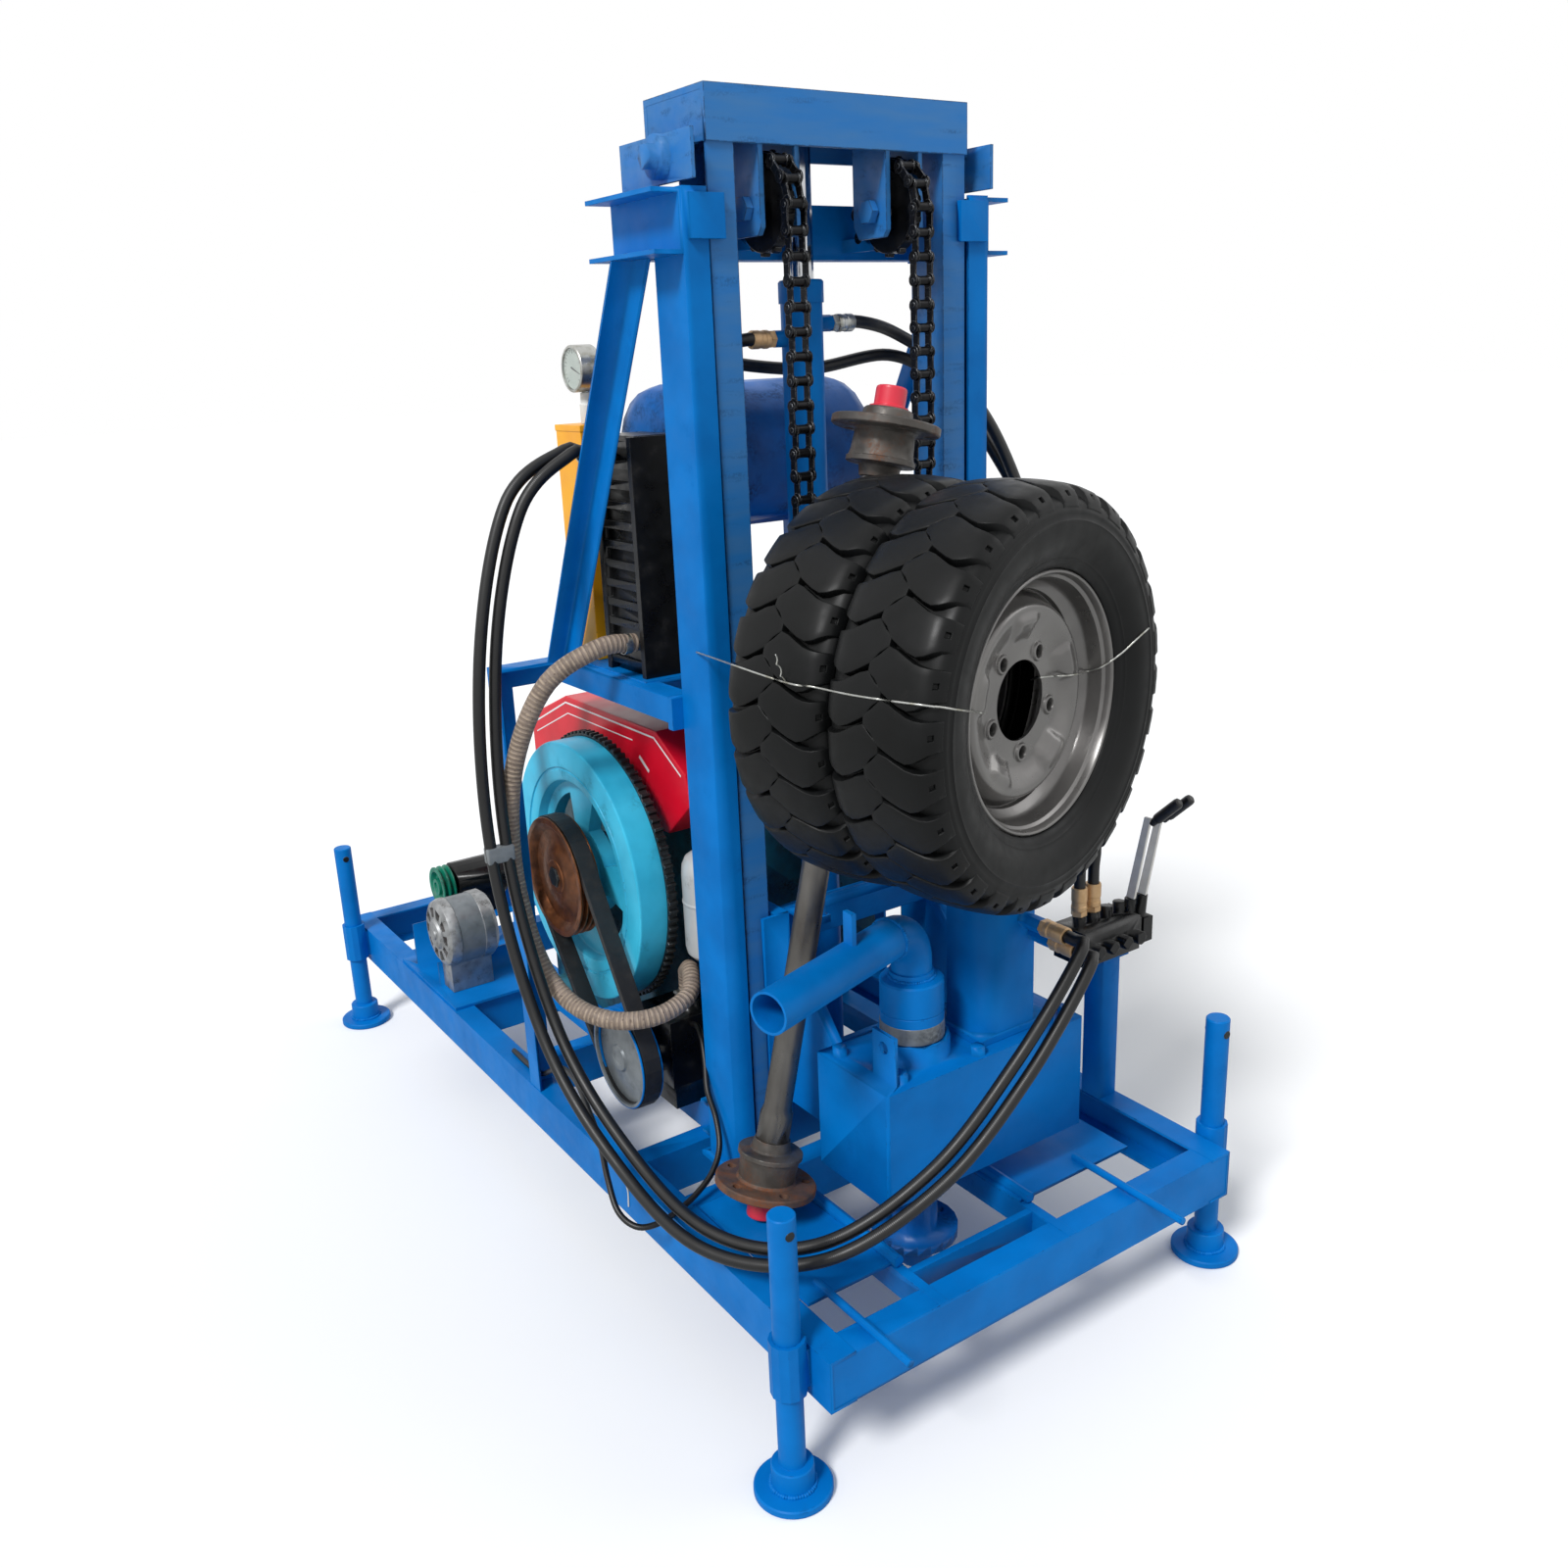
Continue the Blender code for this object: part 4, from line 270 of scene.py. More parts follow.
gilded_zinc = finish("yellow_zinc_plate", "#D8B386", "#C9A273", (0.34, 0.46), metallic=0.45, drift_mm=14,
                     grain_depth=0.002)
copper = finish("brown_copper_ring", "#85512F", "#5E3820", (0.28, 0.44), metallic=0.7, drift_mm=18,
                grain_depth=0.04, dirt="#4B2C1C", dirt_from=0.55, dirt_mm=20)
rim_silver = finish("silver_wheel_lacquer", "#7C7A78", "#6C6A69", (0.26, 0.34), metallic=0.7, coat=0.35,
                    coat_rough=0.1, grain_mm=0.8, grain_depth=0.01, bare="#5A5A5B", bare_share=0.2,
                    round_mm=1.5)
grey_disc = finish("grey_pulley_face", "#7E8488", "#6A7074", (0.30, 0.46), metallic=0.3, drift_mm=25,
                   grain_depth=0.03, dirt="#2E3032", dirt_from=0.55, bare="#8F9498", bare_share=0.4)
print(len(bpy.data.materials), "finishes so far")

# %% [markdown]
# Rubber, plastic and glass. Tyre rubber is a matt near-black that catches dust in its grooves. The hoses
# are wrapped in cloth before they are cured, which leaves a fine cross weave on them. The suction hose is
# a worn canvas colour over a wire helix, so its pattern follows its own length.

# %% Rubber, plastic and glass
tyre_rubber = finish("tyre_rubber", "#0F1011", "#0A0B0B", (0.34, 0.50), drift_mm=70, grain_mm=0.9,
                     grain_depth=0.04, dirt="#1E1D1C", dirt_from=0.66, dirt_mm=30, round_mm=1.6, gloss=0.2)
belt_rubber = finish("belt_rubber", "#1B1B1C", "#121213", (0.45, 0.62), drift_mm=20, grain_depth=0.04,
                     dirt="#2E2B28", dirt_from=0.55, dirt_mm=18)
red_plastic = finish("red_cap_plastic", "#DF3347", "#C92A3C", (0.30, 0.42), grain_depth=0.01, dirt="#7E3034",
                     dirt_from=0.64, dirt_mm=20)
white_plastic = finish("white_connector_plastic", "#DEDEDA", "#CFCFCB", (0.4, 0.5), grain_depth=0.01)
pinstripe = finish("white_pinstripe", "#F2EFEF", "#E9E4E4", (0.3, 0.4), grain_depth=0.0)
grip = finish("black_grip_plastic", "#161617", "#101011", (0.30, 0.45), grain_depth=0.02)
dial_white = finish("white_dial_lacquer", "#EDEDE8", "#E2E2DC", (0.4, 0.5), grain_depth=0.0)
dial_black = finish("dial_print", "#141414", "#181818", (0.5, 0.6), grain_depth=0.0)
twine = finish("white_twine", "#E4E2DA", "#C9C6BC", (0.7, 0.85), grain_mm=0.8, grain_depth=0.1)


def along_hose(name, base, shade, rough, ring_mm, ring_depth, weave_mm, weave_depth, ring_shade=0.0):
    """Rings and weave that follow the hose: U is metres along it, V goes once round it."""
    material, tree, shader, where = blank(name, "UV")
    split = add(tree, "ShaderNodeSeparateXYZ", {0: where})
    solid = add(tree, "ShaderNodeTexCoord").outputs["Object"]
    colour = blended(tree, spread(tree, solid, 45, 0.35, 0.65), linear(base), linear(shade))
    rings = multiplied(tree, split.outputs[0], 2 * math.pi * 1000 / ring_mm)
    rings = add(tree, "ShaderNodeMath", {0: rings}, operation="SINE").outputs[0]
    rings = add(tree, "ShaderNodeMapRange", {"Value": rings, 1: -0.6, 2: 0.8}).outputs[0]
    spiral = multiplied(tree, multiplied(tree, split.outputs[0], 1000 / weave_mm), split.outputs[1], "ADD")
    weave = multiplied(tree, spiral, 2 * math.pi)
    weave = add(tree, "ShaderNodeMath", {0: weave}, operation="SINE").outputs[0]
    if ring_shade:
        worn = multiplied(tree, rings, spread(tree, solid, 9, 0.3, 0.6))
        colour = blended(tree, multiplied(tree, worn, ring_shade), colour, linear("#B7A48F"))
        pits = spread(tree, solid, 5, 0.62, 0.72, 3.0)
        colour = blended(tree, multiplied(tree, pits, 0.7), colour, linear("#4E3F35"))
    normal = bumped(tree, weave, weave_depth, bumped(tree, rings, ring_depth))
    normal = bumped(tree, spread(tree, solid, 1.2, 0, 1), 0.06, normal)
    tree.links.new(normal, shader.inputs["Normal"])
    tree.links.new(colour, shader.inputs["Base Color"])
    patches = spread(tree, solid, 30, 0.3, 0.7)
    rough_now = add(tree, "ShaderNodeMapRange", {"Value": patches, 3: rough[0], 4: rough[1]}).outputs[0]
    tree.links.new(rough_now, shader.inputs["Roughness"])
    return material


hose_rubber = along_hose("cloth_wrapped_hose", "#0C0C0D", "#080809", (0.34, 0.48), 26, 0.05, 2.6, 0.05)
canvas_hose = along_hose("worn_canvas_hose", "#8F7F73", "#75675C", (0.55, 0.72), 7.5, 0.9, 3.1, 0.10, 0.75)


def clear_glass():
    material, tree, shader, where = blank("gauge_glass")
    shader.inputs["Transmission Weight"].default_value = 1.0
    shader.inputs["Roughness"].default_value = 0.02
    shader.inputs["IOR"].default_value = 1.5
    faint = spread(tree, where, 20, 0.3, 0.7)
    tree.links.new(blended(tree, faint, linear("#F4FAF8"), linear("#ECF4F2")), shader.inputs["Base Color"])
    return material


glass = clear_glass()
print(len(bpy.data.materials), "finishes in all")

# %% [markdown]
# ## Small tools for meshes
# Round pieces are turned from a profile, hoses and rods are swept along a route, and plates are extruded.
# Each tool returns a loose mesh in the plan's own coordinates, measured from the middle of the base
# frame, and `piece` joins such meshes, moves them to the model's place and lets them ride on a body.
# Lengths are in metres, but a table inside `mm(...)` is written in millimetres: a profile's rows are
# radius and place along the axis, and a route's rows are x, y and z.

# %% Meshes
def mm(*rows):
    """A table of places, written in millimetres, in metres."""
    return [tuple(value / 1000 for value in row) for row in rows]


def circle(radius, count, share=0.0, shut=False):
    """Pairs (x, y) once round a circle, from a share of the first step on; shut repeats the first."""
    angles = [math.tau * (i + share) / count for i in range(count + shut)]
    return [(radius * math.cos(a), radius * math.sin(a)) for a in angles]


def on_axis(at, axis, spin=0.0):
    """The matrix that sets a piece turned about Z on this place, with its axis this way."""
    turn = Vector(axis).to_track_quat("Z", "Y").to_matrix().to_4x4()
    return Matrix.Translation(Vector(at)) @ turn @ Matrix.Rotation(spin, 4, "Z")


def turned(profile, place, steps, closed=False):
    """A form turned from rows (radius, place along the axis), a vertex where the radius is nought."""
    mesh = bmesh.new()
    rings = []
    for r, z in profile:
        spots = circle(r, steps) if r > 1e-7 else [(0, 0)]
        rings.append([mesh.verts.new((x, y, z)) for x, y in spots])
    pairs = list(zip(rings, rings[1:])) + ([(rings[-1], rings[0])] if closed else [])
    for a, b in pairs:
        for i in range(steps):
            j = (i + 1) % steps
            corners = dict.fromkeys((a[i % len(a)], a[j % len(a)], b[j % len(b)], b[i % len(b)]))
            if len(corners) > 2:
                mesh.faces.new(list(corners))
    if place is not None:
        mesh.transform(place)
    bmesh.ops.recalc_face_normals(mesh, faces=mesh.faces)
    return mesh


def rod(start, end, radius, steps):
    start, end = Vector(start), Vector(end)
    length, edge = (end - start).length, 0.0008
    profile = [(0, 0), (radius - edge, 0), (radius, edge), (radius, length - edge), (radius - edge, length),
               (0, length)]
    return turned(profile, on_axis(start, end - start), steps)


def prism(outline, low, high, axis="Z", edge=0.0):
    """An outline of pairs, drawn out from low to high along X or Z, with its edges broken."""
    mesh = bmesh.new()
    a, b = ([mesh.verts.new((w, u, v) if axis == "X" else (u, v, w)) for u, v in outline]
            for w in (low, high))
    mesh.faces.new(a)
    mesh.faces.new(b)
    for i in range(len(a)):
        j = (i + 1) % len(a)
        mesh.faces.new((a[i], a[j], b[j], b[i]))
    bmesh.ops.recalc_face_normals(mesh, faces=mesh.faces)
    if edge:
        bmesh.ops.bevel(mesh, geom=mesh.edges, offset=edge, segments=2, affect="EDGES", profile=0.6)
    return mesh


def slab(x0, x1, y0, y1, z0, z1, edge):
    return prism([(x0, y0), (x1, y0), (x1, y1), (x0, y1)], z0, z1, "Z", edge)


def swept(points, radius, sides):
    """A round section carried along points, with U in metres along it and V once round it."""
    points = [Vector(p) for p in points]
    mesh = bmesh.new()
    layer = mesh.loops.layers.uv.new("UVMap")
    ahead = (points[1] - points[0]).normalized()
    side = ahead.orthogonal().normalized()
    rings, walked, far = [], [], 0.0
    for i, point in enumerate(points):
        new = (points[min(i + 1, len(points) - 1)] - points[max(i - 1, 0)]).normalized()
        side = (ahead.rotation_difference(new) @ side)
        side = (side - new * side.dot(new)).normalized()
        ahead = new
        other = new.cross(side)
        far += (point - points[i - 1]).length if i else 0.0
        walked.append(far)
        rings.append([mesh.verts.new(point + (side * x + other * y) * radius) for x, y in circle(1, sides)])
    for i in range(len(points) - 1):
        for k in range(sides):
            j = (k + 1) % sides
            face = mesh.faces.new((rings[i][k], rings[i][j], rings[i + 1][j], rings[i + 1][k]))
            for loop, m, n in zip(face.loops, (i, i, i + 1, i + 1), (k, k + 1, k + 1, k)):
                loop[layer].uv = (walked[m], n / sides)
    mesh.faces.new(list(reversed(rings[0])))
    mesh.faces.new(rings[-1])
    return mesh


def run_length(points):
    return sum((b - a).length for a, b in zip(points, points[1:]))


def flow(route, step):
    """Points at an even spacing on one smooth curve through the route's points."""
    pts = [Vector(p) for p in route]
    ends = [pts[0] * 2 - pts[1]] + pts + [pts[-1] * 2 - pts[-2]]
    fine = []
    for i in range(1, len(ends) - 2):
        p0, p1, p2, p3 = ends[i - 1:i + 3]
        for k in range(24):
            t = k / 24
            fine.append(0.5 * ((2 * p1) + (p2 - p0) * t + (2 * p0 - 5 * p1 + 4 * p2 - p3) * t * t
                               + (3 * p1 - p0 - 3 * p2 + p3) * t ** 3))
    fine.append(pts[-1])
    total = run_length(fine)
    count = max(2, round(total / step))
    result, walked, target = [fine[0]], 0.0, total / count
    for a, b in zip(fine, fine[1:]):
        length = (b - a).length
        while walked + length >= target - 1e-9 and len(result) < count:
            result.append(a.lerp(b, (target - walked) / length))
            target += total / count
        walked += length
    return result + [fine[-1]]


def settled(thing):
    """Replaces the live modifiers of a piece by their result."""
    graph = bpy.context.evaluated_depsgraph_get()
    result = bpy.data.meshes.new_from_object(thing.evaluated_get(graph), depsgraph=graph)
    thing.modifiers.clear()
    thing.data = result
    return result


def cut(mesh, tools):
    """Takes the closed tool meshes out of a closed mesh."""
    things = []
    for part in [mesh] + tools:
        data = bpy.data.meshes.new("cutting")
        part.to_mesh(data)
        part.free()
        things.append(bpy.data.objects.new("cutting", data))
        bpy.context.scene.collection.objects.link(things[-1])
    for tool in things[1:]:
        modifier = things[0].modifiers.new("cut", "BOOLEAN")
        modifier.operation = "DIFFERENCE"
        modifier.solver = "EXACT"
        modifier.object = tool
    bpy.context.view_layer.update()
    result = bmesh.new()
    result.from_mesh(settled(things[0]))
    for thing in things:
        bpy.data.objects.remove(thing)
    return result


def piece(name, parts, body, stands_for, smooth=32, moved=True):
    """Joins (mesh, finish) pairs into one object that rides on a body and may stand for nodes."""
    whole, slots = bmesh.new(), []
    for mesh, material in parts:
        if material not in slots:
            slots.append(material)
        for face in mesh.faces:
            face.material_index = slots.index(material)
        loose = bpy.data.meshes.new("loose")
        mesh.to_mesh(loose)
        mesh.free()
        whole.from_mesh(loose)
        bpy.data.meshes.remove(loose)
    if moved:
        whole.transform(FORWARD)
    data = bpy.data.meshes.new(name)
    whole.to_mesh(data)
    whole.free()
    for material in slots:
        data.materials.append(material)
    data.shade_smooth()
    data.set_sharp_from_angle(angle=math.radians(smooth))
    thing = bpy.data.objects.new(name, data)
    bpy.context.scene.collection.objects.link(thing)
    thing.modifiers.new("even", "WEIGHTED_NORMAL").keep_sharp = True
    settled(thing)
    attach(thing, body)
    if stands_for:
        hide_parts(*stands_for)
    return thing


# %% [markdown]
# ## The hoses
# Hydraulic hoses are stiff: they leave a fitting straight, bend in one wide curve and come back into the
# machine. Each is a tube of its real length on the same route as in the measured model. Two run from the
# oil cooler round the mast's foot to the motor on the drill head, a wire-wound suction hose feeds the
# pump, and two go from the lift cylinder to the control valve.

# %% Lay the hoses
def cord(name, points, radius, sides, material, stands_for=()):
    """A round cord that lies along its points."""
    skin = piece(name, [(swept(points, radius, sides), material)], "base", stands_for, 60)


def hose(name, route, radius, material):
    cord(name + "_skin", flow(route, radius * 1.2), radius, 24, material, [name])


HOSE_R = 0.0094
# the first motor hose's way, and how far the second lies beside it
PAIR = (((-0.2568, -0.244, 1.345), (0.000, 0.022, 0.000)),
        ((-0.2800, -0.244, 1.345), (0.000, 0.022, 0.000)),
        ((-0.3100, -0.242, 1.348), (0.000, 0.024, 0.004)),
        ((-0.4000, -0.240, 1.270), (-0.016, 0.014, 0.012)),
        ((-0.4600, -0.235, 1.050), (-0.026, 0.000, 0.000)),
        ((-0.4750, -0.240, 0.750), (-0.026, 0.000, 0.000)),
        ((-0.4600, -0.330, 0.480), (-0.025, 0.000, -0.008)),
        ((-0.4400, -0.500, 0.340), (-0.022, 0.000, -0.014)),
        ((-0.4150, -0.700, 0.290), (-0.022, -0.008, -0.012)),
        ((-0.3300, -0.845, 0.315), (-0.010, -0.020, -0.010)),
        ((-0.1800, -0.905, 0.400), (0.000, -0.020, -0.014)),
        ((-0.0400, -0.925, 0.530), (0.006, -0.014, -0.024)))
PORTS = ((0.092, 0.668), (0.112, 0.640))
MOTOR_PORT_Y = -0.8403
for i, (px, pz) in enumerate(PORTS):
    route = [tuple(a + i * b for a, b in zip(at, beside)) for at, beside in PAIR]
    route += [(px - 0.012, -0.925, pz - 0.010), (px, -0.9003, pz), (px, MOTOR_PORT_Y, pz)]
    hose("motor_hose_%d" % (i + 1), route, HOSE_R, hose_rubber)
suction_route = mm((-256.5, -300, 1062), (-320, -300, 1062), (-400, -270, 1010), (-446, -230, 880),
                   (-455, -210, 720), (-446, -240, 580), (-428, -300, 510), (-395, -375, 490),
                   (-335, -420, 492), (-268, -415, 506), (-234, -368, 524), (-223, -336, 508),
                   (-222, -334, 490), (-222, -334, 474), (-222, -334, 456.3))
hose("suction_hose", suction_route, 0.0145, canvas_hose)
VALVE = Vector((0.376, -0.700, 0.500))
VALVE_PORT_Z = VALVE.z + 0.0783
CYL_X, CYL_Y = 0.0523, -0.415
CYL_PORTS = ((1, 1.520), (-1, 1.500))


def valve_port_x(i):
    return VALVE.x - 0.060 + 0.032 * i


for i, (side, z) in enumerate(CYL_PORTS):
    x_end = valve_port_x(i)
    aside = 0.022 * i
    if side > 0:
        route = [(CYL_X, CYL_Y, z), (0.112, CYL_Y, z)]
    else:
        route = [(-CYL_X, CYL_Y, z), (-0.105, CYL_Y, z), (-0.130, CYL_Y + 0.045, z - 0.012),
                 (-0.080, CYL_Y + 0.085, z - 0.030), (0.060, CYL_Y + 0.070, z - 0.045)]
    route += [(0.200, CYL_Y + 0.020 + aside, z - 0.020 - 0.010 * i),
              (0.300, CYL_Y + 0.010 + aside, z - 0.080),
              (0.350 + 0.010 * i, CYL_Y - 0.050 + aside, z - 0.190),
              (0.375 + 0.024 * i, CYL_Y - 0.110, z - 0.360),
              (x_end + 0.030, VALVE.y + 0.090, 0.900), (x_end + 0.002, VALVE.y + 0.004, 0.720),
              (x_end, VALVE.y, 0.650), (x_end, VALVE.y, VALVE_PORT_Z)]
    hose("lift_hose_%d" % (i + 1), route, HOSE_R, hose_rubber)

# %% [markdown]
# A thin electric cable leaves the pump, drops beside the mast's foot, makes one loose loop over the left
# rail and lies on the rail towards the engine. A bit of white twine ties it to the rail.

# %% The cable over the rail
cable_route = mm((-235, -364.6, 425), (-238, -385, 430), (-248, -415, 422), (-260, -442, 396),
                 (-273.5, -468, 362), (-276, -494, 324), (-288, -520, 290), (-315, -540, 266),
                 (-350, -552, 250), (-390, -562, 241), (-430, -566, 236), (-460, -554, 237),
                 (-472, -520, 250), (-465, -478, 282), (-446, -420, 312), (-426, -340, 330),
                 (-408, -265, 336), (-396, -190, 322), (-388, -120, 285), (-382, -60, 250),
                 (-378, 10, 236.2), (-376, 80, 235.3))
cord("electric_cable", flow(cable_route, 0.0055), 0.0048, 16, hose_rubber)
knot = Vector((-0.4460, -0.420, 0.312))
tie = flow(mm((-401.2, -330, 231.2), (-418, -372, 268), (-440, -412, 304.5), (-450, -423.5, 307.5),
              (-442, -425, 290), (-417, -420, 245), (-402.5, -414, 205), (-401.8, -412, 170)), 0.004)
wrap = [knot + Vector((0.0062 * math.cos(a), 0.002 * a / 9, 0.0062 * math.sin(a)))
        for a in [i * 0.4 for i in range(48)]]
piece("electric_cable_tie", [(swept(line, 0.0013, 8), twine) for line in (tie, wrap)], "base", (), 60)

# %% [markdown]
# ## What repeats: Geometry Nodes
# Weld beads, chain links, gear teeth and tread blocks all repeat one small form. The weld tree strings
# beads along lines, the chain tree puts a link on each point, turned to the direction stored on it, and
# the ring tree sets a sector round an axle. Each tree ends in Realize Instances and Set Material, and its
# result becomes a plain mesh on one body.

# %% A frame for the trees
def new_tree(name, inputs):
    tree = bpy.data.node_groups.new(name, "GeometryNodeTree")
    tree.interface.new_socket("Places", in_out="INPUT", socket_type="NodeSocketGeometry")
    for label, kind, value in inputs:
        tree.interface.new_socket(label, in_out="INPUT", socket_type=kind).default_value = value
    tree.interface.new_socket("Material", in_out="INPUT", socket_type="NodeSocketMaterial")
    tree.interface.new_socket("Result", in_out="OUTPUT", socket_type="NodeSocketGeometry")
    return tree, add(tree, "NodeGroupInput").outputs


def vector(tree, x=0.0, y=0.0, z=0.0):
    return add(tree, "ShaderNodeCombineXYZ", {0: x, 1: y, 2: z}).outputs[0]


def shifted(tree, solid, at, turn=(0, 0, 0)):
    return add(tree, "GeometryNodeTransform", {
        "Geometry": solid, "Translation": at, "Rotation": turn}).outputs[0]


def close_tree(tree, instances, material):
    real = add(tree, "GeometryNodeRealizeInstances", {0: instances}).outputs[0]
    painted = add(tree, "GeometryNodeSetMaterial", {"Geometry": real, "Material": material}).outputs[0]
    add(tree, "NodeGroupOutput", {0: painted})
    return tree


def grow(name, tree, settings, body, spots=(), lines=(), sector=None, place=None, stands_for=(), smooth=35):
    """Runs a tree on points (place, facing, size), on lines, or on a sector, and keeps the plain mesh."""
    mesh = bpy.data.meshes.new(name)
    if sector is not None:
        sector.to_mesh(mesh)
        sector.free()
    elif lines:
        points, edges = [], []
        for line in lines:
            first = len(points)
            points += [FORWARD @ Vector(p) for p in line]
            edges += [(first + i, first + i + 1) for i in range(len(line) - 1)]
        mesh.from_pydata(points, edges, [])
    else:
        mesh.from_pydata([FORWARD @ Vector(spot[0]) for spot in spots], [], [])
        facing = mesh.attributes.new("facing", "FLOAT_VECTOR", "POINT")
        facing.data.foreach_set("vector", [c for spot in spots for c in Vector(spot[1]).normalized()])
        size = mesh.attributes.new("size", "FLOAT", "POINT")
        size.data.foreach_set("value", [spot[2] for spot in spots])
    host = bpy.data.objects.new(name, mesh)
    bpy.context.scene.collection.objects.link(host)
    modifier = host.modifiers.new("grow", "NODES")
    modifier.node_group = tree
    for item in tree.interface.items_tree:
        if item.item_type == "SOCKET" and item.in_out == "INPUT" and item.name in settings:
            modifier[item.identifier] = settings[item.name]
    bpy.context.view_layer.update()
    result = settled(host)
    if place is not None:
        result.transform(FORWARD @ place)
    result.shade_smooth()
    result.set_sharp_from_angle(angle=math.radians(smooth))
    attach(host, body)
    if stands_for:
        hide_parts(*stands_for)
    return host


# %% The weld tree
def weld_tree():
    tree, given = new_tree("weld_beads", (("Width", "NodeSocketFloat", 0.004),
                                          ("Step", "NodeSocketFloat", 0.0035)))
    curve = add(tree, "GeometryNodeMeshToCurve", {0: given["Places"]}).outputs[0]
    even = add(tree, "GeometryNodeResampleCurve", {"Curve": curve, "Length": given["Step"]},
               mode="LENGTH").outputs[0]
    bead = add(tree, "GeometryNodeMeshIcoSphere", {"Radius": given["Width"], "Subdivisions": 2}).outputs[0]
    tangent = add(tree, "GeometryNodeInputTangent").outputs[0]
    turn = add(tree, "FunctionNodeAlignRotationToVector", {"Vector": tangent}, axis="Z").outputs[0]
    size = add(tree, "FunctionNodeRandomValue", {0: (0.75, 0.75, 0.5), 1: (1.15, 1.15, 0.9), "Seed": 7},
               data_type="FLOAT_VECTOR").outputs[0]
    placed = add(tree, "GeometryNodeInstanceOnPoints", {
        "Points": even, "Instance": bead, "Rotation": turn, "Scale": size}).outputs[0]
    return close_tree(tree, placed, given["Material"])


welds = weld_tree()


# %% The ring tree
def ring_tree():
    tree, given = new_tree("round_an_axle", (("Count", "NodeSocketInt", 24),))
    sector = add(tree, "GeometryNodeGeometryToInstance", {0: given["Places"]}).outputs[0]
    copies = add(tree, "GeometryNodeDuplicateElements", {"Geometry": sector, "Amount": given["Count"]},
                 domain="INSTANCE").outputs
    share = multiplied(tree, copies["Duplicate Index"], given["Count"], "DIVIDE")
    angle = vector(tree, z=multiplied(tree, share, math.tau))
    spun = add(tree, "GeometryNodeRotateInstances", {
        "Instances": copies[0], "Rotation": angle, "Local Space": False}).outputs[0]
    return close_tree(tree, spun, given["Material"])


ring = ring_tree()


# %% The chain tree
def stored(tree, name, kind):
    return add(tree, "GeometryNodeInputNamedAttribute", {"Name": name}, data_type=kind).outputs[0]


def joined(tree, solids):
    join = add(tree, "GeometryNodeJoinGeometry")
    for solid in solids:
        tree.links.new(solid, join.inputs[0])
    return join.outputs[0]


def chain_tree():
    """Outer links on points of size 1, inner ones on points of size 0: two plates and two pins each."""
    tree, given = new_tree("roller_chain", (("Pitch", "NodeSocketFloat", 0.03175),
                                            ("Width", "NodeSocketFloat", 0.034),
                                            ("Height", "NodeSocketFloat", 0.018)))
    pitch, width, height = given["Pitch"], given["Width"], given["Height"]
    facing = add(tree, "ShaderNodeSeparateXYZ", {0: stored(tree, "facing", "FLOAT_VECTOR")}).outputs
    lean = multiplied(tree, multiplied(tree, facing[1], -1.0), facing[2], "ARCTAN2")
    turn = vector(tree, lean)

    def drum(sides, radius, depth, x, end):
        solid = add(tree, "GeometryNodeMeshCylinder", {"Vertices": sides, "Radius": radius, "Depth": depth})
        at = vector(tree, x, z=multiplied(tree, pitch, end))
        return shifted(tree, solid.outputs[0], at, (0, math.pi / 2, 0))

    links = []
    for plate_share, pin_width, pin_radius, choice in ((0.45, 1.0, 0.19, "GREATER_THAN"),
                                                       (0.33, 0.58, 0.36, "LESS_THAN")):
        solids = []
        for side in (-1, 1):
            x = multiplied(tree, width, side * plate_share)
            for end in (-0.5, 0.5):
                solids.append(drum(14, multiplied(tree, height, 0.5), 0.0026, x, end * 0.92))
            waist = vector(tree, 0.0024, multiplied(tree, height, 0.66), pitch)
            bar = add(tree, "GeometryNodeMeshCube", {"Size": waist}).outputs[0]
            solids.append(shifted(tree, bar, vector(tree, x)))
        for end in (-0.5, 0.5):
            solids.append(drum(12, multiplied(tree, height, pin_radius), multiplied(tree, width, pin_width),
                               0.0, end))
        chosen = add(tree, "FunctionNodeCompare", {0: stored(tree, "size", "FLOAT"), 1: 0.5},
                     data_type="FLOAT", operation=choice).outputs[0]
        links.append(add(tree, "GeometryNodeInstanceOnPoints", {
            "Points": given["Places"], "Selection": chosen, "Instance": joined(tree, solids),
            "Rotation": turn}).outputs[0])
    return close_tree(tree, joined(tree, links), given["Material"])


chain = chain_tree()
print("trees:", [tree.name for tree in bpy.data.node_groups])

# %% [markdown]
# ## Flat steel keeps its mesh
# The base frame, mast, carriage, gear case and brackets are already right in the measured model. Copies
# whose loose triangles are merged shade smoothly round their sleeves and tubes, while plates stay crisp.

# %% Refine the model's own steel
STEEL = (("base", blue, ("base_frame", "deck_plate_left", "deck_plate_right", "outer_mast", "upper_frame",
                         "valve_stand", "accessory_beam")),
         ("drill_head", blue, ("carriage", "gearbox", "motor_housing")),
         ("mast_stage", scuffed, ("inner_mast",)),
         # the tank's darker blue is painted shade
         ("base", painted_shade_blue, ("hydraulic_tank",)),
         ("base", teal, ("engine_block",)),
         ("base", black_enamel, ("oil_cooler",)),
         ("base", casting, ("exhaust_pipe",)),
         ("base", black_enamel, ("hydraulic_pump", "small_pump")),
         ("base", blue, ("lift_cylinder",)),
         ("base", black_enamel, ("control_valve",)),
         ("mast_stage", polished, ("cylinder_rod",)),
         ("spindle_body", painted_shade_blue, ("spindle",)),
         ("drill_head", tube_steel, ("axle_tube",)),
         ("base", belt_rubber, ("drive_belts",)))
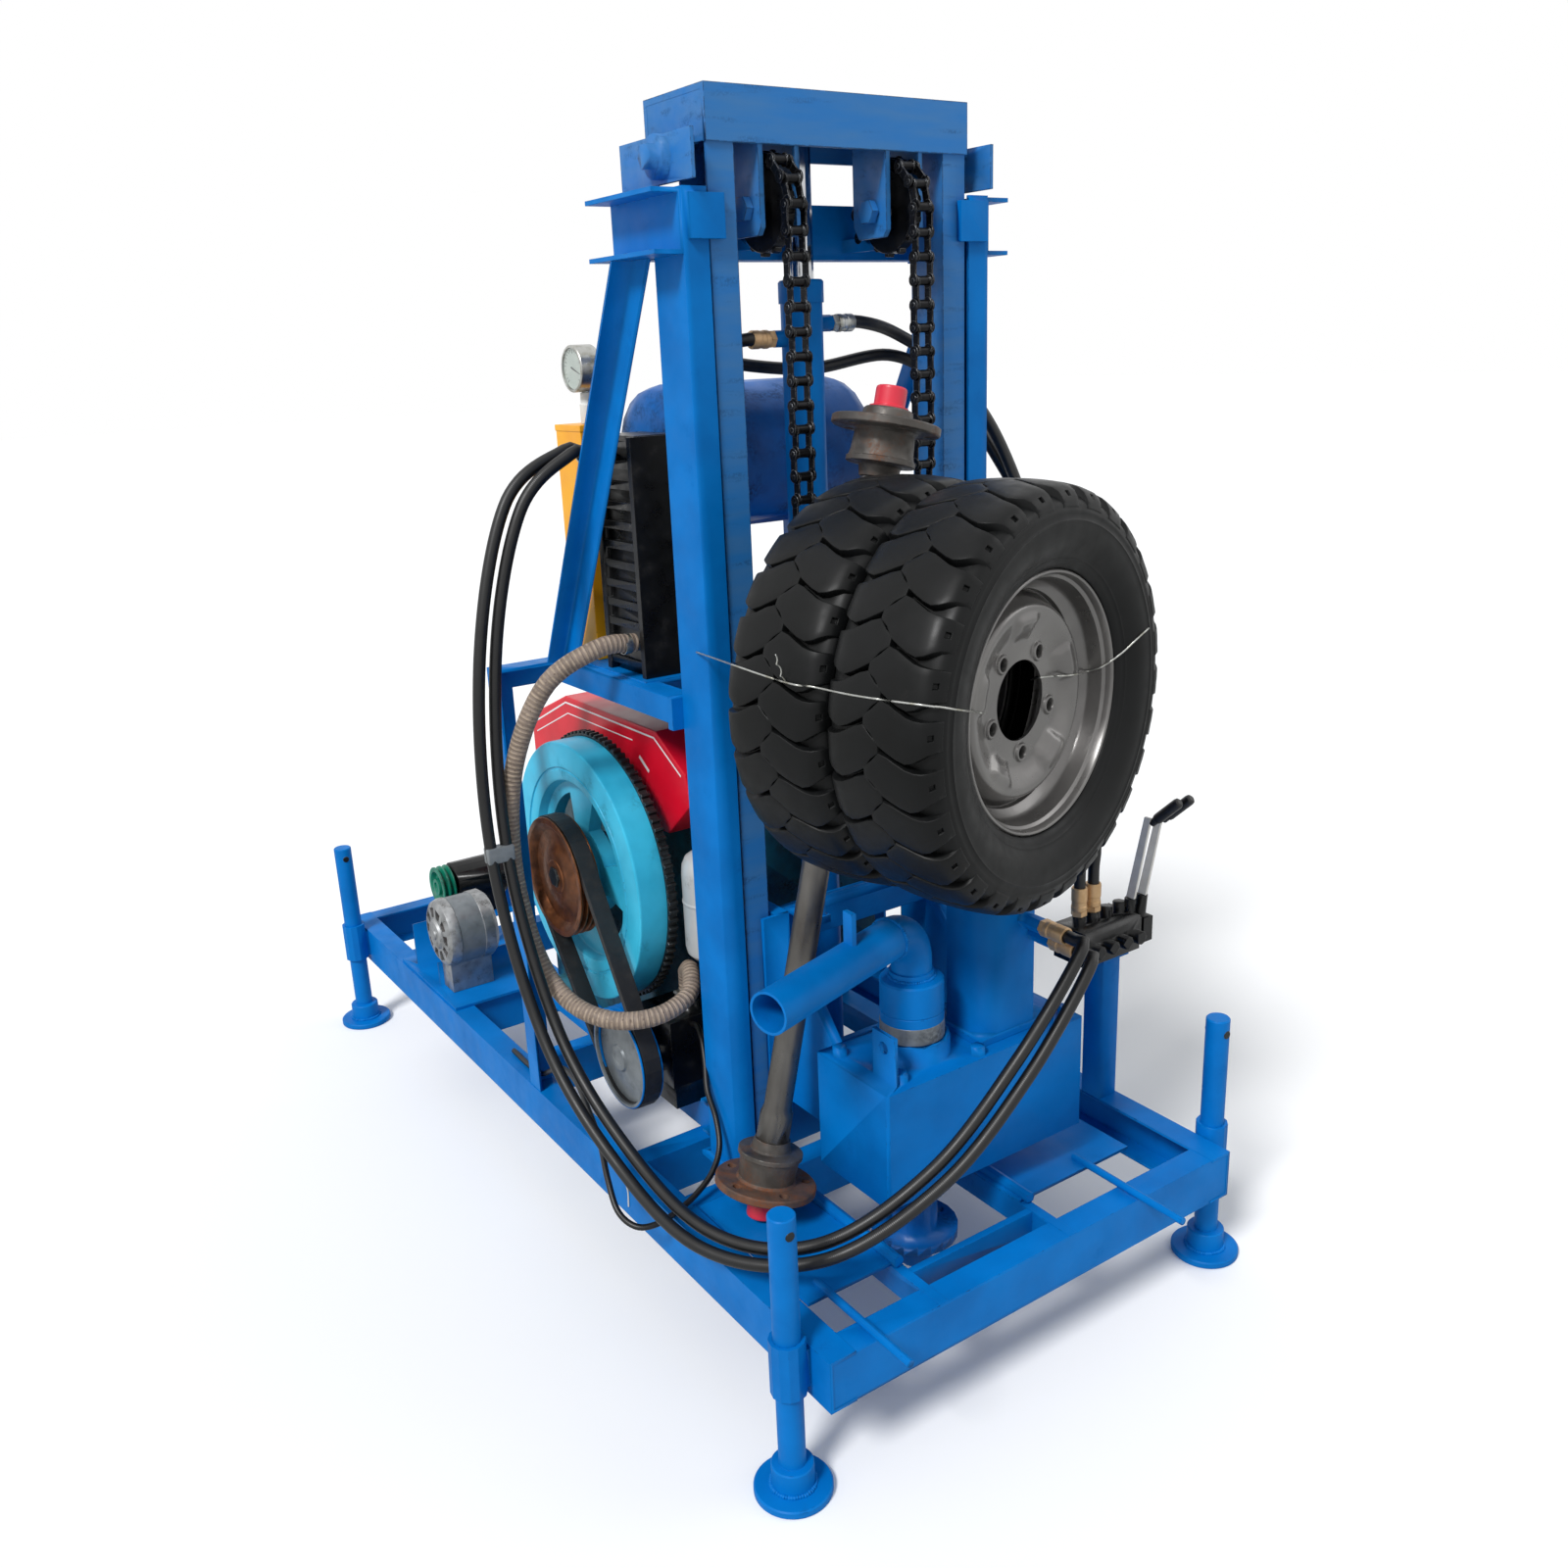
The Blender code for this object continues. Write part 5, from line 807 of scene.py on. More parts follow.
for body, material, names in STEEL:
    for node in names:
        mesh = bmesh.new()
        mesh.from_mesh(nodes[node].data)
        bmesh.ops.remove_doubles(mesh, verts=mesh.verts, dist=2e-5)
        piece(node + "_steel", [(mesh, material)], body, [node], moved=False)

# %% [markdown]
# ## The tyres
# A trailer tyre of this kind has two rows of interlocking blocks that meet in a zigzag groove, and each
# block ends on the shoulder in a lug with a small square pit. One block is built on the tyre's own curve
# as a strip whose two long edges wander, and the ring tree sets it round the axle. The carcass under it
# is turned, with the thin rings that a mould leaves on the sidewall.

# %% The tyre and its tread
TYRE_W, TYRE_GAP, LUGS = 0.162, 0.0006, 28
WHEEL_TURN = math.radians(12.9)
wheel_axis = Vector((math.sin(WHEEL_TURN), -math.cos(WHEEL_TURN), 0))
WHEEL_FACE = Vector((-0.046, -1.000, 1.053))
WHEELS = {name: on_axis(WHEEL_FACE - wheel_axis * (widths * (TYRE_W + TYRE_GAP)), wheel_axis)
          for name, widths in (("front", 0.5), ("rear", 1.5))}
# outer skin of the tread from the middle groove over the shoulder: across, radius, depth of the groove
SKIN = mm((-11, 272.4, 10), (0, 272.5, 10), (11.5, 272.5, 10), (23, 272.2, 10), (35, 271.4, 10),
          (47, 270.2, 10), (57, 268.6, 10), (66, 265.5, 10), (72.2, 260.6, 9), (76.4, 254.5, 7),
          (78.8, 247, 4), (79.8, 242.5, 1))
# where the block's two long edges run, and how far the block bends, both in shares of the pitch
EDGES = ((0.41, 0.59), (0.275, 0.725), (0.07, 0.93), (0.045, 0.955), (0.045, 0.955), (0.06, 0.94),
         (0.10, 0.90), (0.15, 0.85), (0.18, 0.82), (0.19, 0.81), (0.20, 0.80), (0.20, 0.80))
BEND = (0.0, 0.0, 0.02, 0.10, 0.20, 0.28, 0.28, 0.24, 0.20, 0.18, 0.17, 0.17)
COLUMNS, PIT_CELL, FOOT_WIDER = 5, (8, 2), 0.035


def tread_block():
    """One block of each row, the far row half a pitch on."""
    mesh = bmesh.new()
    pitch = math.tau / LUGS

    def corner(share, bend, radius, across, side, shift):
        a = pitch * (share + shift + bend)
        return mesh.verts.new((radius * math.cos(a), radius * math.sin(a), side * across))

    for side, shift in ((1, 0.0), (-1, 0.5)):
        top, low = [], []
        for (z, r, deep), (s0, s1), bend in zip(SKIN, EDGES, BEND):
            row_top, row_low = [], []
            for k in range(COLUMNS + 1):
                s = s0 + (s1 - s0) * k / COLUMNS
                foot = s + (FOOT_WIDER if k == COLUMNS else -FOOT_WIDER if k == 0 else 0)
                row_top.append(corner(s, bend, r, z, side, shift))
                row_low.append(corner(foot, bend, r - deep - 0.002, z - 0.001, side, shift))
            top.append(row_top)
            low.append(row_low)
        pit = None
        for i in range(len(SKIN) - 1):
            for k in range(COLUMNS):
                face = mesh.faces.new((top[i][k], top[i][k + 1], top[i + 1][k + 1], top[i + 1][k]))
                pit = face if (i, k) == PIT_CELL else pit
                mesh.faces.new((low[i][k], low[i + 1][k], low[i + 1][k + 1], low[i][k + 1]))
            for k in (0, COLUMNS):
                mesh.faces.new((top[i][k], top[i + 1][k], low[i + 1][k], low[i][k]))
        for i in (0, len(SKIN) - 1):
            for k in range(COLUMNS):
                mesh.faces.new((top[i][k], low[i][k], low[i][k + 1], top[i][k + 1]))
        bmesh.ops.recalc_face_normals(mesh, faces=mesh.faces)
        bmesh.ops.inset_individual(mesh, faces=[pit], thickness=0.0012, depth=-0.0001)
        bmesh.ops.translate(mesh, verts=pit.verts, vec=-pit.normal * 0.004)
        skin = sum(top, [])
        rims = [e for e in mesh.edges if len(e.link_faces) == 2 and e.calc_face_angle(0) > 0.9
                and all(v in skin for v in e.verts)]
        bmesh.ops.bevel(mesh, geom=rims, offset=0.0010, segments=2, affect="EDGES", profile=0.6)
    return mesh


# the sidewall from the bead to the crown: radius, across
SIDEWALL = mm((167.2, 56.5), (169, 62.5), (176, 66), (179.5, 66.8), (181.2, 69), (183, 69), (185, 70.5),
              (196, 76.5), (208, 80), (218, 81), (224, 80.9), (226.2, 82), (228.4, 80.6), (234, 80),
              (236.2, 80.8), (238.4, 79.7), (244, 78.5), (248.5, 76.5), (254, 70), (257, 60), (259.5, 40),
              (260, 20), (260, 0))
far_side = [(r, -z) for r, z in reversed(SIDEWALL[:-1])]
for name, place in WHEELS.items():
    carcass = turned(SIDEWALL + far_side, place, 144, closed=True)
    piece("tyre_%s_carcass" % name, [(carcass, tyre_rubber)], "drill_head", ["tyre_" + name], 50)
    tread = grow("tyre_%s_tread" % name, ring, {"Count": LUGS, "Material": tyre_rubber}, "drill_head",
                 sector=tread_block(), place=place, smooth=28)
    print(tread.name, len(tread.data.polygons), "faces")

# %% [markdown]
# ## The rims
# A pressed steel wheel: a rolled rim with a flange each side and a drop well, and a dished disc welded
# into it with five raised lobes between the bolt holes. The disc is a grid in polar steps whose height is
# worked out from the radius and the angle, so that the lobes rise softly, as pressed sheet does.

# %% Pressed wheel discs
def smoothstep(low, high, x):
    t = min(1.0, max(0.0, (x - low) / (high - low)))
    return t * t * (3 - 2 * t)


STUDS, STUD_START = 5, 0.776


def disc_height(r, a):
    # a raised ring at two thirds of the radius, falling to the hub face and to the rim
    height = 0.0225 + 0.0125 * smoothstep(0.080, 0.117, r) - 0.0270 * smoothstep(0.119, 0.140, r)
    around = math.cos(STUDS * (a - math.tau * STUD_START / STUDS) + math.pi)
    lobe = smoothstep(0.10, 0.80, around) * smoothstep(0.074, 0.092, r) * (1 - smoothstep(0.100, 0.116, r))
    return height + 0.0080 * lobe


def wheel_disc(holes):
    mesh = bmesh.new()
    radii = [0.0515 + 0.00226 * i for i in range(40)]
    angles = 200
    layers = [[[mesh.verts.new((x, y, disc_height(r, math.tau * k / angles) - drop))
                for k, (x, y) in enumerate(circle(r, angles))] for r in radii] for drop in (0.0, 0.0045)]
    for grid in layers:
        for i in range(len(radii) - 1):
            for k in range(angles):
                j = (k + 1) % angles
                corners = (grid[i][k], grid[i][j], grid[i + 1][j], grid[i + 1][k])
                x = sum(v.co.x for v in corners) / 4
                y = sum(v.co.y for v in corners) / 4
                if min((x - hx) ** 2 + (y - hy) ** 2 for hx, hy in holes) > 0.0082 ** 2:
                    mesh.faces.new(corners)
    for i in (0, len(radii) - 1):
        for k in range(angles):
            j = (k + 1) % angles
            mesh.faces.new((layers[0][i][k], layers[0][i][j], layers[1][i][j], layers[1][i][k]))
    loose = [v for v in mesh.verts if not v.link_faces]
    bmesh.ops.delete(mesh, geom=loose, context="VERTS")
    bmesh.ops.recalc_face_normals(mesh, faces=mesh.faces)
    return mesh


RIM = mm((156, -56), (167.2, -58.5), (167.2, -54.5), (165.5, -50), (164, -30), (161, -25), (148, -18),
         (144, -12), (144, 8), (148, 14), (161, 25), (164, 32), (165.5, 50), (167.2, 54.5), (167.2, 58.5),
         (165, 60.5), (162.5, 60), (161, 57.5), (160, 51), (156, 48), (154, 30), (150, 22), (140, 16),
         (138.5, 8), (138.5, -12), (143, -22), (158, -29), (160, -48))
COLLAR = mm((7.2, 16.5), (7.2, 23.5), (9, 26.2), (11.2, 26.2), (13.2, 23), (13.6, 20.5), (10.5, 16.5))
for name, place in WHEELS.items():
    holes = circle(0.0680, STUDS, STUD_START)
    disc = wheel_disc(holes)
    disc.transform(place)
    meshes = [turned(RIM, place, 128, closed=True), disc]
    for x, y in holes:
        meshes.append(turned(COLLAR, place @ Matrix.Translation((x, y, 0)), 28, closed=True))
    piece("rim_%s_steel" % name, [(mesh, rim_silver) for mesh in meshes], "drill_head", ["rim_" + name], 40)
print("rims pressed")

# %% [markdown]
# ## The lift chains
# Two roller chains hang from the carriage, run up to sprockets under the top beam and down behind to
# the fixed mast. As the head climbs on its stage the front runs grow shorter. Outer and inner links
# alternate, and the chain tree draws both.

# %% Chain runs and sprockets
SPROCKET = Vector((0.1095, -0.495, 1.667))
PITCH_R, CHAIN_END, LINK_PITCH, HEAD_TRAVEL = 0.065, 0.705, 0.03175, 0.86
WRAP_LINKS, TEETH = 6, 13
RUN = SPROCKET.z - CHAIN_END
RUN_LINKS = round(RUN / LINK_PITCH)
step = RUN / RUN_LINKS
for name, side in (("left", -1), ("right", 1)):
    x, y, z = side * SPROCKET.x, SPROCKET.y, SPROCKET.z
    hub = Vector((x, y, z))
    spots = [((x, y - PITCH_R, CHAIN_END + step * (i + 0.5)), (0, 0, 1), i % 2) for i in range(RUN_LINKS)]
    run = grow("chain_%s_run" % name, chain, {"Pitch": step, "Material": chain_black}, "mast_stage", spots,
               stands_for=["chain_" + name])
    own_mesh(run)
    wrap = []
    for i in range(WRAP_LINKS):
        turn = math.pi * (i + 0.5) / WRAP_LINKS
        at = (x, y - PITCH_R * math.cos(turn), z + PITCH_R * math.sin(turn))
        wrap.append((at, (0, math.sin(turn), math.cos(turn)), (i + RUN_LINKS) % 2))
    wrap.append(((x, y + PITCH_R, z - 0.014), (0, 0, 1), (WRAP_LINKS + RUN_LINKS) % 2))
    grow("chain_%s_wrap" % name, chain, {"Material": chain_black}, "mast_stage", wrap)
    wheel = [turned(mm((0, -9), (54.5, -9), (55.5, -8), (55.5, 8), (54.5, 9), (0, 9)),
                    on_axis(hub, (1, 0, 0)), 48)]
    for i in range(TEETH):
        tooth = prism(mm((50, -6), (60, -3.5), (60, 3.5), (50, 6)), -0.006, 0.006, "Z", 0.001)
        tooth.transform(on_axis(hub, (1, 0, 0), math.tau * i / TEETH))
        wheel.append(tooth)
    shaft = rod((side * 0.070, y, z), (side * 0.150, y, z), 0.010, 24)
    nuts = [turned(mm((0, 0), (16.5, 0), (17.3, 1), (17.3, 12), (15, 13), (0, 13)),
                   on_axis((at, y, z), (way, 0, 0)), 6)
            for at, way in ((side * 0.0722, -side), (side * 0.1413, side))]
    piece("sprocket_%s_wheel" % name, [(mesh, chain_black) for mesh in wheel] + [(shaft, dark_iron)]
          + [(nut, scuffed) for nut in nuts], "mast_stage", ["sprocket_" + name])
print("chains hung, pitch", round(step * 1000, 2), "mm")

# %% [markdown]
# ## Jack legs
# Each leg is a bar that slides in a welded sleeve, with a dark pin across it near its top and a round
# foot welded on below. The foot's collar is turned, and a ring of weld joins it to the plate.

# %% Turn the legs
LEG = mm((0, 0), (53, 0), (55, 2), (55, 10), (53, 12), (30.5, 12.5), (30, 14), (30, 45), (28.5, 47),
         (19.2, 47.5), (19, 49), (19, 435), (17.2, 437), (0, 437))
for name, side, y in (("front_left", -1, -0.902), ("front_right", 1, -0.902),
                      ("rear_left", -1, 0.871), ("rear_right", 1, 0.871)):
    x = side * 0.4265
    leg = turned(LEG, Matrix.Translation((x, y, 0)), 48)
    pin = rod((x, y - 0.0200, 0.413), (x, y + 0.0200, 0.413), 0.0068, 20)
    piece("leg_%s_bar" % name, [(leg, blue), (pin, dark_iron)], "leg_" + name, ["jack_leg_" + name], 30)
    loop = [(x + u, y + v, 0.0135) for u, v in circle(0.031, 24, shut=True)]
    grow("leg_%s_weld" % name, welds, {"Width": 0.0038, "Step": 0.0036, "Material": blue}, "leg_" + name,
         lines=[loop])
print("legs turned")

# %% [markdown]
# ## The engine's running gear
# The flywheel is a heavy casting, turned on its face, with four kidney openings and a toothed steel ring
# shrunk on behind its rim. The belt pulleys are turned from a profile with their grooves, and the tooth is
# one small form that the ring tree sets round the rim.

# %% Flywheel, ring gear and pulleys
FLY = Vector((-0.308, -0.120, 0.642))
FLY_FACE = on_axis(FLY, (1, 0, 0))


def flywheel():
    rings = mm((34, -4), (57, -4), (58, -3), (59, 16), (64, 19), (149, 23.5), (155, 21), (160, 6),
               (165, 3), (178, 2), (179, 3.6), (183, 3.6), (184, 1), (223.5, 0.4), (226.5, 2), (228, 5),
               (228, 68), (176, 68), (170, 44), (60, 44), (56, 68), (34, 68))
    wheel = turned(rings, None, 128, closed=True)
    tools = []
    for k in range(4):
        sweep = [k * math.pi / 2 + math.radians(18 + 54 * i / 12) for i in range(13)]
        outline = [(0.078 * math.cos(a), 0.078 * math.sin(a)) for a in sweep]
        outline += [(0.135 * math.cos(a), 0.135 * math.sin(a)) for a in reversed(sweep)]
        tools.append(prism(outline, -0.02, 0.09))
    wheel = cut(wheel, tools)
    wheel.transform(FLY_FACE)
    return wheel


piece("flywheel_casting", [(flywheel(), turquoise)], "flywheel_body", ["flywheel"], 30)
gear_band = turned(mm((228.4, 50), (231.8, 50), (232.4, 50.6), (232.4, 65.4), (231.8, 66),
                      (228.4, 66)), FLY_FACE, 128, closed=True)
piece("ring_gear_band", [(gear_band, dark_iron)], "flywheel_body", ["ring_gear"], 30)
GEAR_TEETH = 96
tooth = prism(mm((231.8, -4.4), (237.4, -2.2), (237.4, 2.2), (231.8, 4.4)), 0.0500, 0.0660, "Z", 0.0006)
grow("ring_gear_teeth", ring, {"Count": GEAR_TEETH, "Material": dark_iron}, "flywheel_body", sector=tooth,
     place=FLY_FACE)


BELT_X, BELTS, BELT_WIDTH, GROOVE = FLY.x - 0.0423, 3, 0.0380, 0.0085


def grooved(radius):
    """The tread of a belt wheel with its V grooves, from its open face to its back."""
    step = (BELT_WIDTH - 0.004) / BELTS
    points = [(radius - 0.001, 0.0), (radius, 0.001)]
    for i in range(BELTS):
        start = 0.002 + i * step
        points += [(radius, start + 0.0008), (radius - GROOVE, start + step * 0.34),
                   (radius - GROOVE, start + step * 0.66), (radius, start + step - 0.0008)]
    return points + [(radius, BELT_WIDTH - 0.001), (radius - 0.001, BELT_WIDTH)]


drum = mm((0, 4), (28, 4), (30, 5.5), (48, 5.5), (60, 12), (82, 12), (90, 3), (95, 0)) + grooved(0.1050)
drum += mm((33.5, 38), (33.5, 98), (0, 98))
drum_place = on_axis((BELT_X, FLY.y, FLY.z), (1, 0, 0))
drum_nut = turned(mm((0, -0.5), (16, 0), (18.5, 1.5), (18.5, 5), (0, 5)), drum_place, 6)
piece("drive_pulley_drum", [(turned(drum, drum_place, 96), copper), (drum_nut, dark_iron)], "flywheel_body",
      ["drive_pulley"], 30)
pump_place = on_axis((BELT_X, -0.312, 0.378), (1, 0, 0))
dish = mm((0, 1.2), (11, 1.2), (12, 0.2), (21, 0.2), (24, 4), (60, 10), (78, 10), (79.5, 0.2), (84, 0))
face = turned(dish, pump_place, 96)
edge_band = turned([(0.084, 0.0)] + grooved(0.0860) + mm((20, 38), (20, 58), (0, 58)), pump_place, 96)
piece("pump_pulley_wheel", [(face, grey_disc), (edge_band, blue)], "pump_shaft", ["pump_pulley"], 30)
small_place = on_axis((-0.322, 0.575, 0.402), (1, 0, 0))
small = mm((0, 6), (10, 6), (11, 3), (18, 3), (19, 12), (30, 14), (34, 4.5))
small += mm((42.5, 4), (44, 5.2), (44, 7), (34, 11), (34, 13), (44, 17), (44, 20), (34, 24), (34, 26),
            (44, 30), (44, 32), (43, 33), (14, 33), (14, 40), (0, 40))
piece("small_pump_wheel", [(turned(small, small_place, 64), green)], "small_pump_shaft",
      ["small_pump_pulley"], 30)
print("flywheel turned,", GEAR_TEETH, "teeth")

# %% [markdown]
# ## Hood, box, air cleaner and alternator
# The hood is folded sheet with baked red enamel and thin white lines along its folds. The air cleaner is
# two spun cups joined at a rolled seam. The alternator is two cast shells round a grey stator, and the
# front shell has slots through which the fan blows.

# %% Sheet metal and accessories
HOOD = mm((-292, 735.3), (-372, 805), (-358, 852), (-270, 905), (60, 905), (215, 842), (215, 720.3),
          (-189.5, 720.3), (-189.5, 735.3))
hood = prism(HOOD, -0.215, 0.150, "X", 0.004)


def stripe(line, wide):
    """A flat painted line a third of a millimetre proud of the hood's left side."""
    loops = []
    for a, b in zip(line, line[1:]):
        along = (Vector(b) - Vector(a)).normalized()
        off = Vector((-along.y, along.x)) * wide / 2
        corners = [Vector(a) - off, Vector(b) - off, Vector(b) + off, Vector(a) + off]
        loops.append(prism([tuple(c) for c in corners], -0.21535, -0.2146, "X"))
    return loops


lines = stripe(mm((195, 832), (58, 893), (-264, 893), (-345, 846)), 0.0030)
lines += stripe(mm((195, 812), (52, 874), (-190, 874)), 0.0020)
lines += stripe([(-0.210, 0.850), (-0.240, 0.830)], 0.0060)
piece("engine_hood_sheet", [(hood, red)] + [(line, pinstripe) for line in lines], "base", ["engine_hood"], 15)
case = slab(-0.245, -0.178, -0.150, -0.062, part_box("orange_box")[0][2], 1.384, 0.002)
lid = slab(-0.2460, -0.1770, -0.1510, -0.0610, 1.3740, 1.3838, 0.001)
piece("orange_box_case", [(case, orange), (lid, orange)], "base", ["orange_box"], 20)
CLEAN = Vector((-0.200, -0.388, 0.545))
cup = mm((0, 0), (26, 1), (34, 5), (41.5, 13), (44, 24), (44, 99), (45.2, 101), (45.2, 103.5), (44, 105),
         (44, 148), (42.5, 164), (37, 176), (27, 183), (22.5, 185), (22, 188), (22, 219), (20.5, 221.5),
         (0, 221.5))
clean = turned(cup, Matrix.Translation(CLEAN), 64)
outlet = slab(-0.1900, -0.1504, -0.3760, -0.3440, 0.6050, 0.6650, 0.003)
piece("air_cleaner_body", [(clean, grey_enamel), (outlet, grey_enamel)], "base", ["air_cleaner"], 30)
ALT = Vector((-0.392, 0.420, 0.362))
alt_place = on_axis(ALT, (1, 0, 0))
front_shell = mm((0, 1), (10, 1), (11, 4), (28, 4), (32, 9), (58, 10), (68, 16), (71.8, 26), (71.8, 36),
                 (66, 38), (0, 38))
SLOTS = 10
slots = []
for i in range(SLOTS):
    slot = prism(mm((36, -7.5), (56, -11.5), (56, 11.5), (36, 7.5)), -0.01, 0.022)
    slot.transform(alt_place @ Matrix.Rotation(math.tau * i / SLOTS, 4, "Z"))
    slots.append(slot)
shell = cut(turned(front_shell, alt_place, 80), slots)
stator = turned(mm((0, 37), (69, 37), (70, 38), (70, 88), (69, 89), (0, 89)), alt_place, 80)
back_shell = turned(mm((0, 88), (71.2, 88), (71.8, 90), (71.8, 110), (64, 119), (32, 123), (20, 125.8),
                       (0, 125.8)), alt_place, 80)
ears = [slab(ALT.x + 0.020, ALT.x + 0.034, ALT.y - 0.020, ALT.y + 0.016, 0.3003, ALT.z - 0.020, 0.001),
        slab(ALT.x + 0.020, ALT.x + 0.110, ALT.y - 0.030, ALT.y + 0.0197, 0.2363, 0.310, 0.0015)]
inner = turned(mm((0, 20), (64, 20), (64, 22), (0, 22)), alt_place, 40)
piece("alternator_body", [(shell, alloy), (stator, grey_disc), (back_shell, alloy), (inner, copper)]
      + [(ear, alloy) for ear in ears], "base", ["alternator"], 30)
print("engine dressed")

# %% [markdown]
# ## Gauge, levers, hubs and the water swivel
# Small pieces that a hand or an eye goes to. The gauge has a silver case, a white face and a brass stub.
# The levers are flat plated bars with black grips. The hubs are castings with a red plastic cap over their
# bearing, and the swivel is a bent pipe welded on a turned body.

# %% Small turned pieces
BOX_TOP = 1.384
GAUGE = Vector((-0.212, -0.120, BOX_TOP + 0.085))
dial_place = on_axis((-0.237, GAUGE.y, GAUGE.z), (1, 0, 0))
bezel = turned(mm((31, 4.5), (31.5, 0), (35, 0.2), (36, 1.5), (36, 34), (34, 37), (0, 37), (0, 30),
                  (31, 30)), dial_place, 64, closed=True)
dial = turned(mm((0, 4.5), (31.2, 4.5), (31.2, 30), (0, 30)), dial_place, 48)
marks = []
MARKS, SWEEP, MARK_R = 20, 270, 0.0285
for i in range(MARKS + 1):
    a = math.radians(SWEEP * i / MARKS - SWEEP / 2)
    long = 0.0055 if i % 5 == 0 else 0.0030
    mark = slab(-0.0003, 0.0003, MARK_R - long, MARK_R, 0.0040, 0.0050, 0)
    mark.transform(dial_place @ Matrix.Rotation(a, 4, "Z"))
    marks.append((mark, dial_black))
needle = prism(mm((-1.2, -6), (1.2, -6), (0.3, 24), (-0.3, 24)), 0.0030, 0.0036)
needle.transform(dial_place @ Matrix.Rotation(math.radians(110), 4, "Z"))
pane = turned(mm((0, 1.2), (30.8, 1.2), (30.8, 2.2), (0, 2.2)), dial_place, 48)
piece("pressure_gauge_case", [(bezel, zinc), (dial, dial_white), (needle, dial_black)] + marks, "base",
      ["pressure_gauge"], 30)
piece("pressure_gauge_glass", [(pane, glass)], "base", (), 30)
plug = turned(mm((0, 0.6), (13.5, 0.6), (14, 2), (14, 30), (12, 32), (11.5, 48), (0, 49)),
              Matrix.Translation((GAUGE.x, GAUGE.y, BOX_TOP)), 40)
stem = rod((GAUGE.x, GAUGE.y, BOX_TOP + 0.047), (GAUGE.x, GAUGE.y, BOX_TOP + 0.060), 0.0090, 32)
stub = swept(flow([(x, GAUGE.y, GAUGE.z) for x in (-0.2010, -0.1850, -0.1700, -0.1500)], 0.004), 0.0100, 32)
nuts = [turned(mm((0, 0), (11.8, 0), (12, 1), (12, long), (0, long)),
               on_axis((x, GAUGE.y, GAUGE.z), (1, 0, 0)), 6) for x, long in ((-0.1990, 14), (-0.1672, 17))]
piece("pressure_gauge_fittings", [(plug, white_plastic), (stem, zinc), (stub, brass)]
      + [(nut, brass) for nut in nuts], "base", (), 30)
for i in range(2):
    x = VALVE.x + 0.048 + 0.028 * i
    low = Vector((x, VALVE.y - 0.0145, VALVE.z + 0.0856))
    top = low + Vector((0.004, -0.030, 0.150))
    outline = [(low.y - 0.0085, low.z), (low.y + 0.0085, low.z), (top.y + 0.0065, top.z),
               (top.y - 0.0065, top.z)]
    bar = prism(outline, x - 0.0025, x + 0.0025, "X", 0.0005)
    ahead = Vector((0.012, -0.050, 0.050)).normalized()
    start = top - Vector((0, 0.004, 0.010))
    held = turned(mm((0, 0), (6, 0), (6.6, 1), (6.6, 10), (8.2, 12), (9, 16), (9, 60), (8, 64), (5, 66.2),
                     (0, 66.6)), on_axis(start, ahead), 32)
    piece("lever_%d_bar" % (i + 1), [(bar, bright_plate), (held, grip)], "base", ["lever_%d" % (i + 1)], 30)

AXLE_LOW, AXLE_HIGH = Vector((-0.300, -0.650, 0.2402)), Vector((0.004, -0.620, 1.430))
axle = (AXLE_HIGH - AXLE_LOW).normalized()
for name, at, way, metal in (("lower", AXLE_LOW, axle, rusty), ("upper", AXLE_HIGH, -axle, casting)):
    place = on_axis(at, way)
    cap = turned(mm((0, 0.4), (19, 0.4), (21.2, 2), (22, 5), (22, 26.5), (27.5, 28), (27.5, 30.5), (0, 30.5)),
                 place, 48)
    flange = turned(mm((0, 30.5), (32, 30.8), (34.5, 33), (36.5, 44.5), (40, 47.2), (74.5, 47.4),
                       (76.8, 49), (76.8, 58), (75, 59.8), (46, 60.6), (43, 64), (0, 64)), place, 96)
    drills = [rod(place @ Vector((x, y, 0.04)), place @ Vector((x, y, 0.07)), 0.0068, 20)
              for x, y in circle(0.0600, STUDS, 0.3)]
    cup = turned(mm((0, 63), (42.5, 63), (44.5, 90), (46.5, 98.5), (49, 99.8), (49, 106.2), (47, 107.5),
                    (32, 108.5), (30, 110.5), (27, 124.8), (0, 125)), place, 64)
    piece("hub_%s_casting" % name, [(cap, red_plastic), (cut(flange, drills), metal), (cup, casting)],
          "hub_" + name, ["hub_%s_end" % name], 30)

SWIVEL = Vector((-0.078, -0.745, 0.4853))
PIPE_R, PIPE_WALL, BEND_R = 0.030, 0.004, 0.052
UP = Vector((0, 0, 1))
outlet_way = Vector((-0.316, -0.098, 0)).normalized()
corner = Vector((SWIVEL.x, SWIVEL.y, 0.685))


def outlet_path(low, reach):
    points = [Vector((corner.x, corner.y, low))]
    for i in range(13):
        a = math.pi / 2 * i / 12
        points.append(corner + outlet_way * (BEND_R * (1 - math.cos(a))) + UP * (BEND_R * (math.sin(a) - 1)))
    return points + [corner + outlet_way * 0.10, corner + outlet_way * reach]


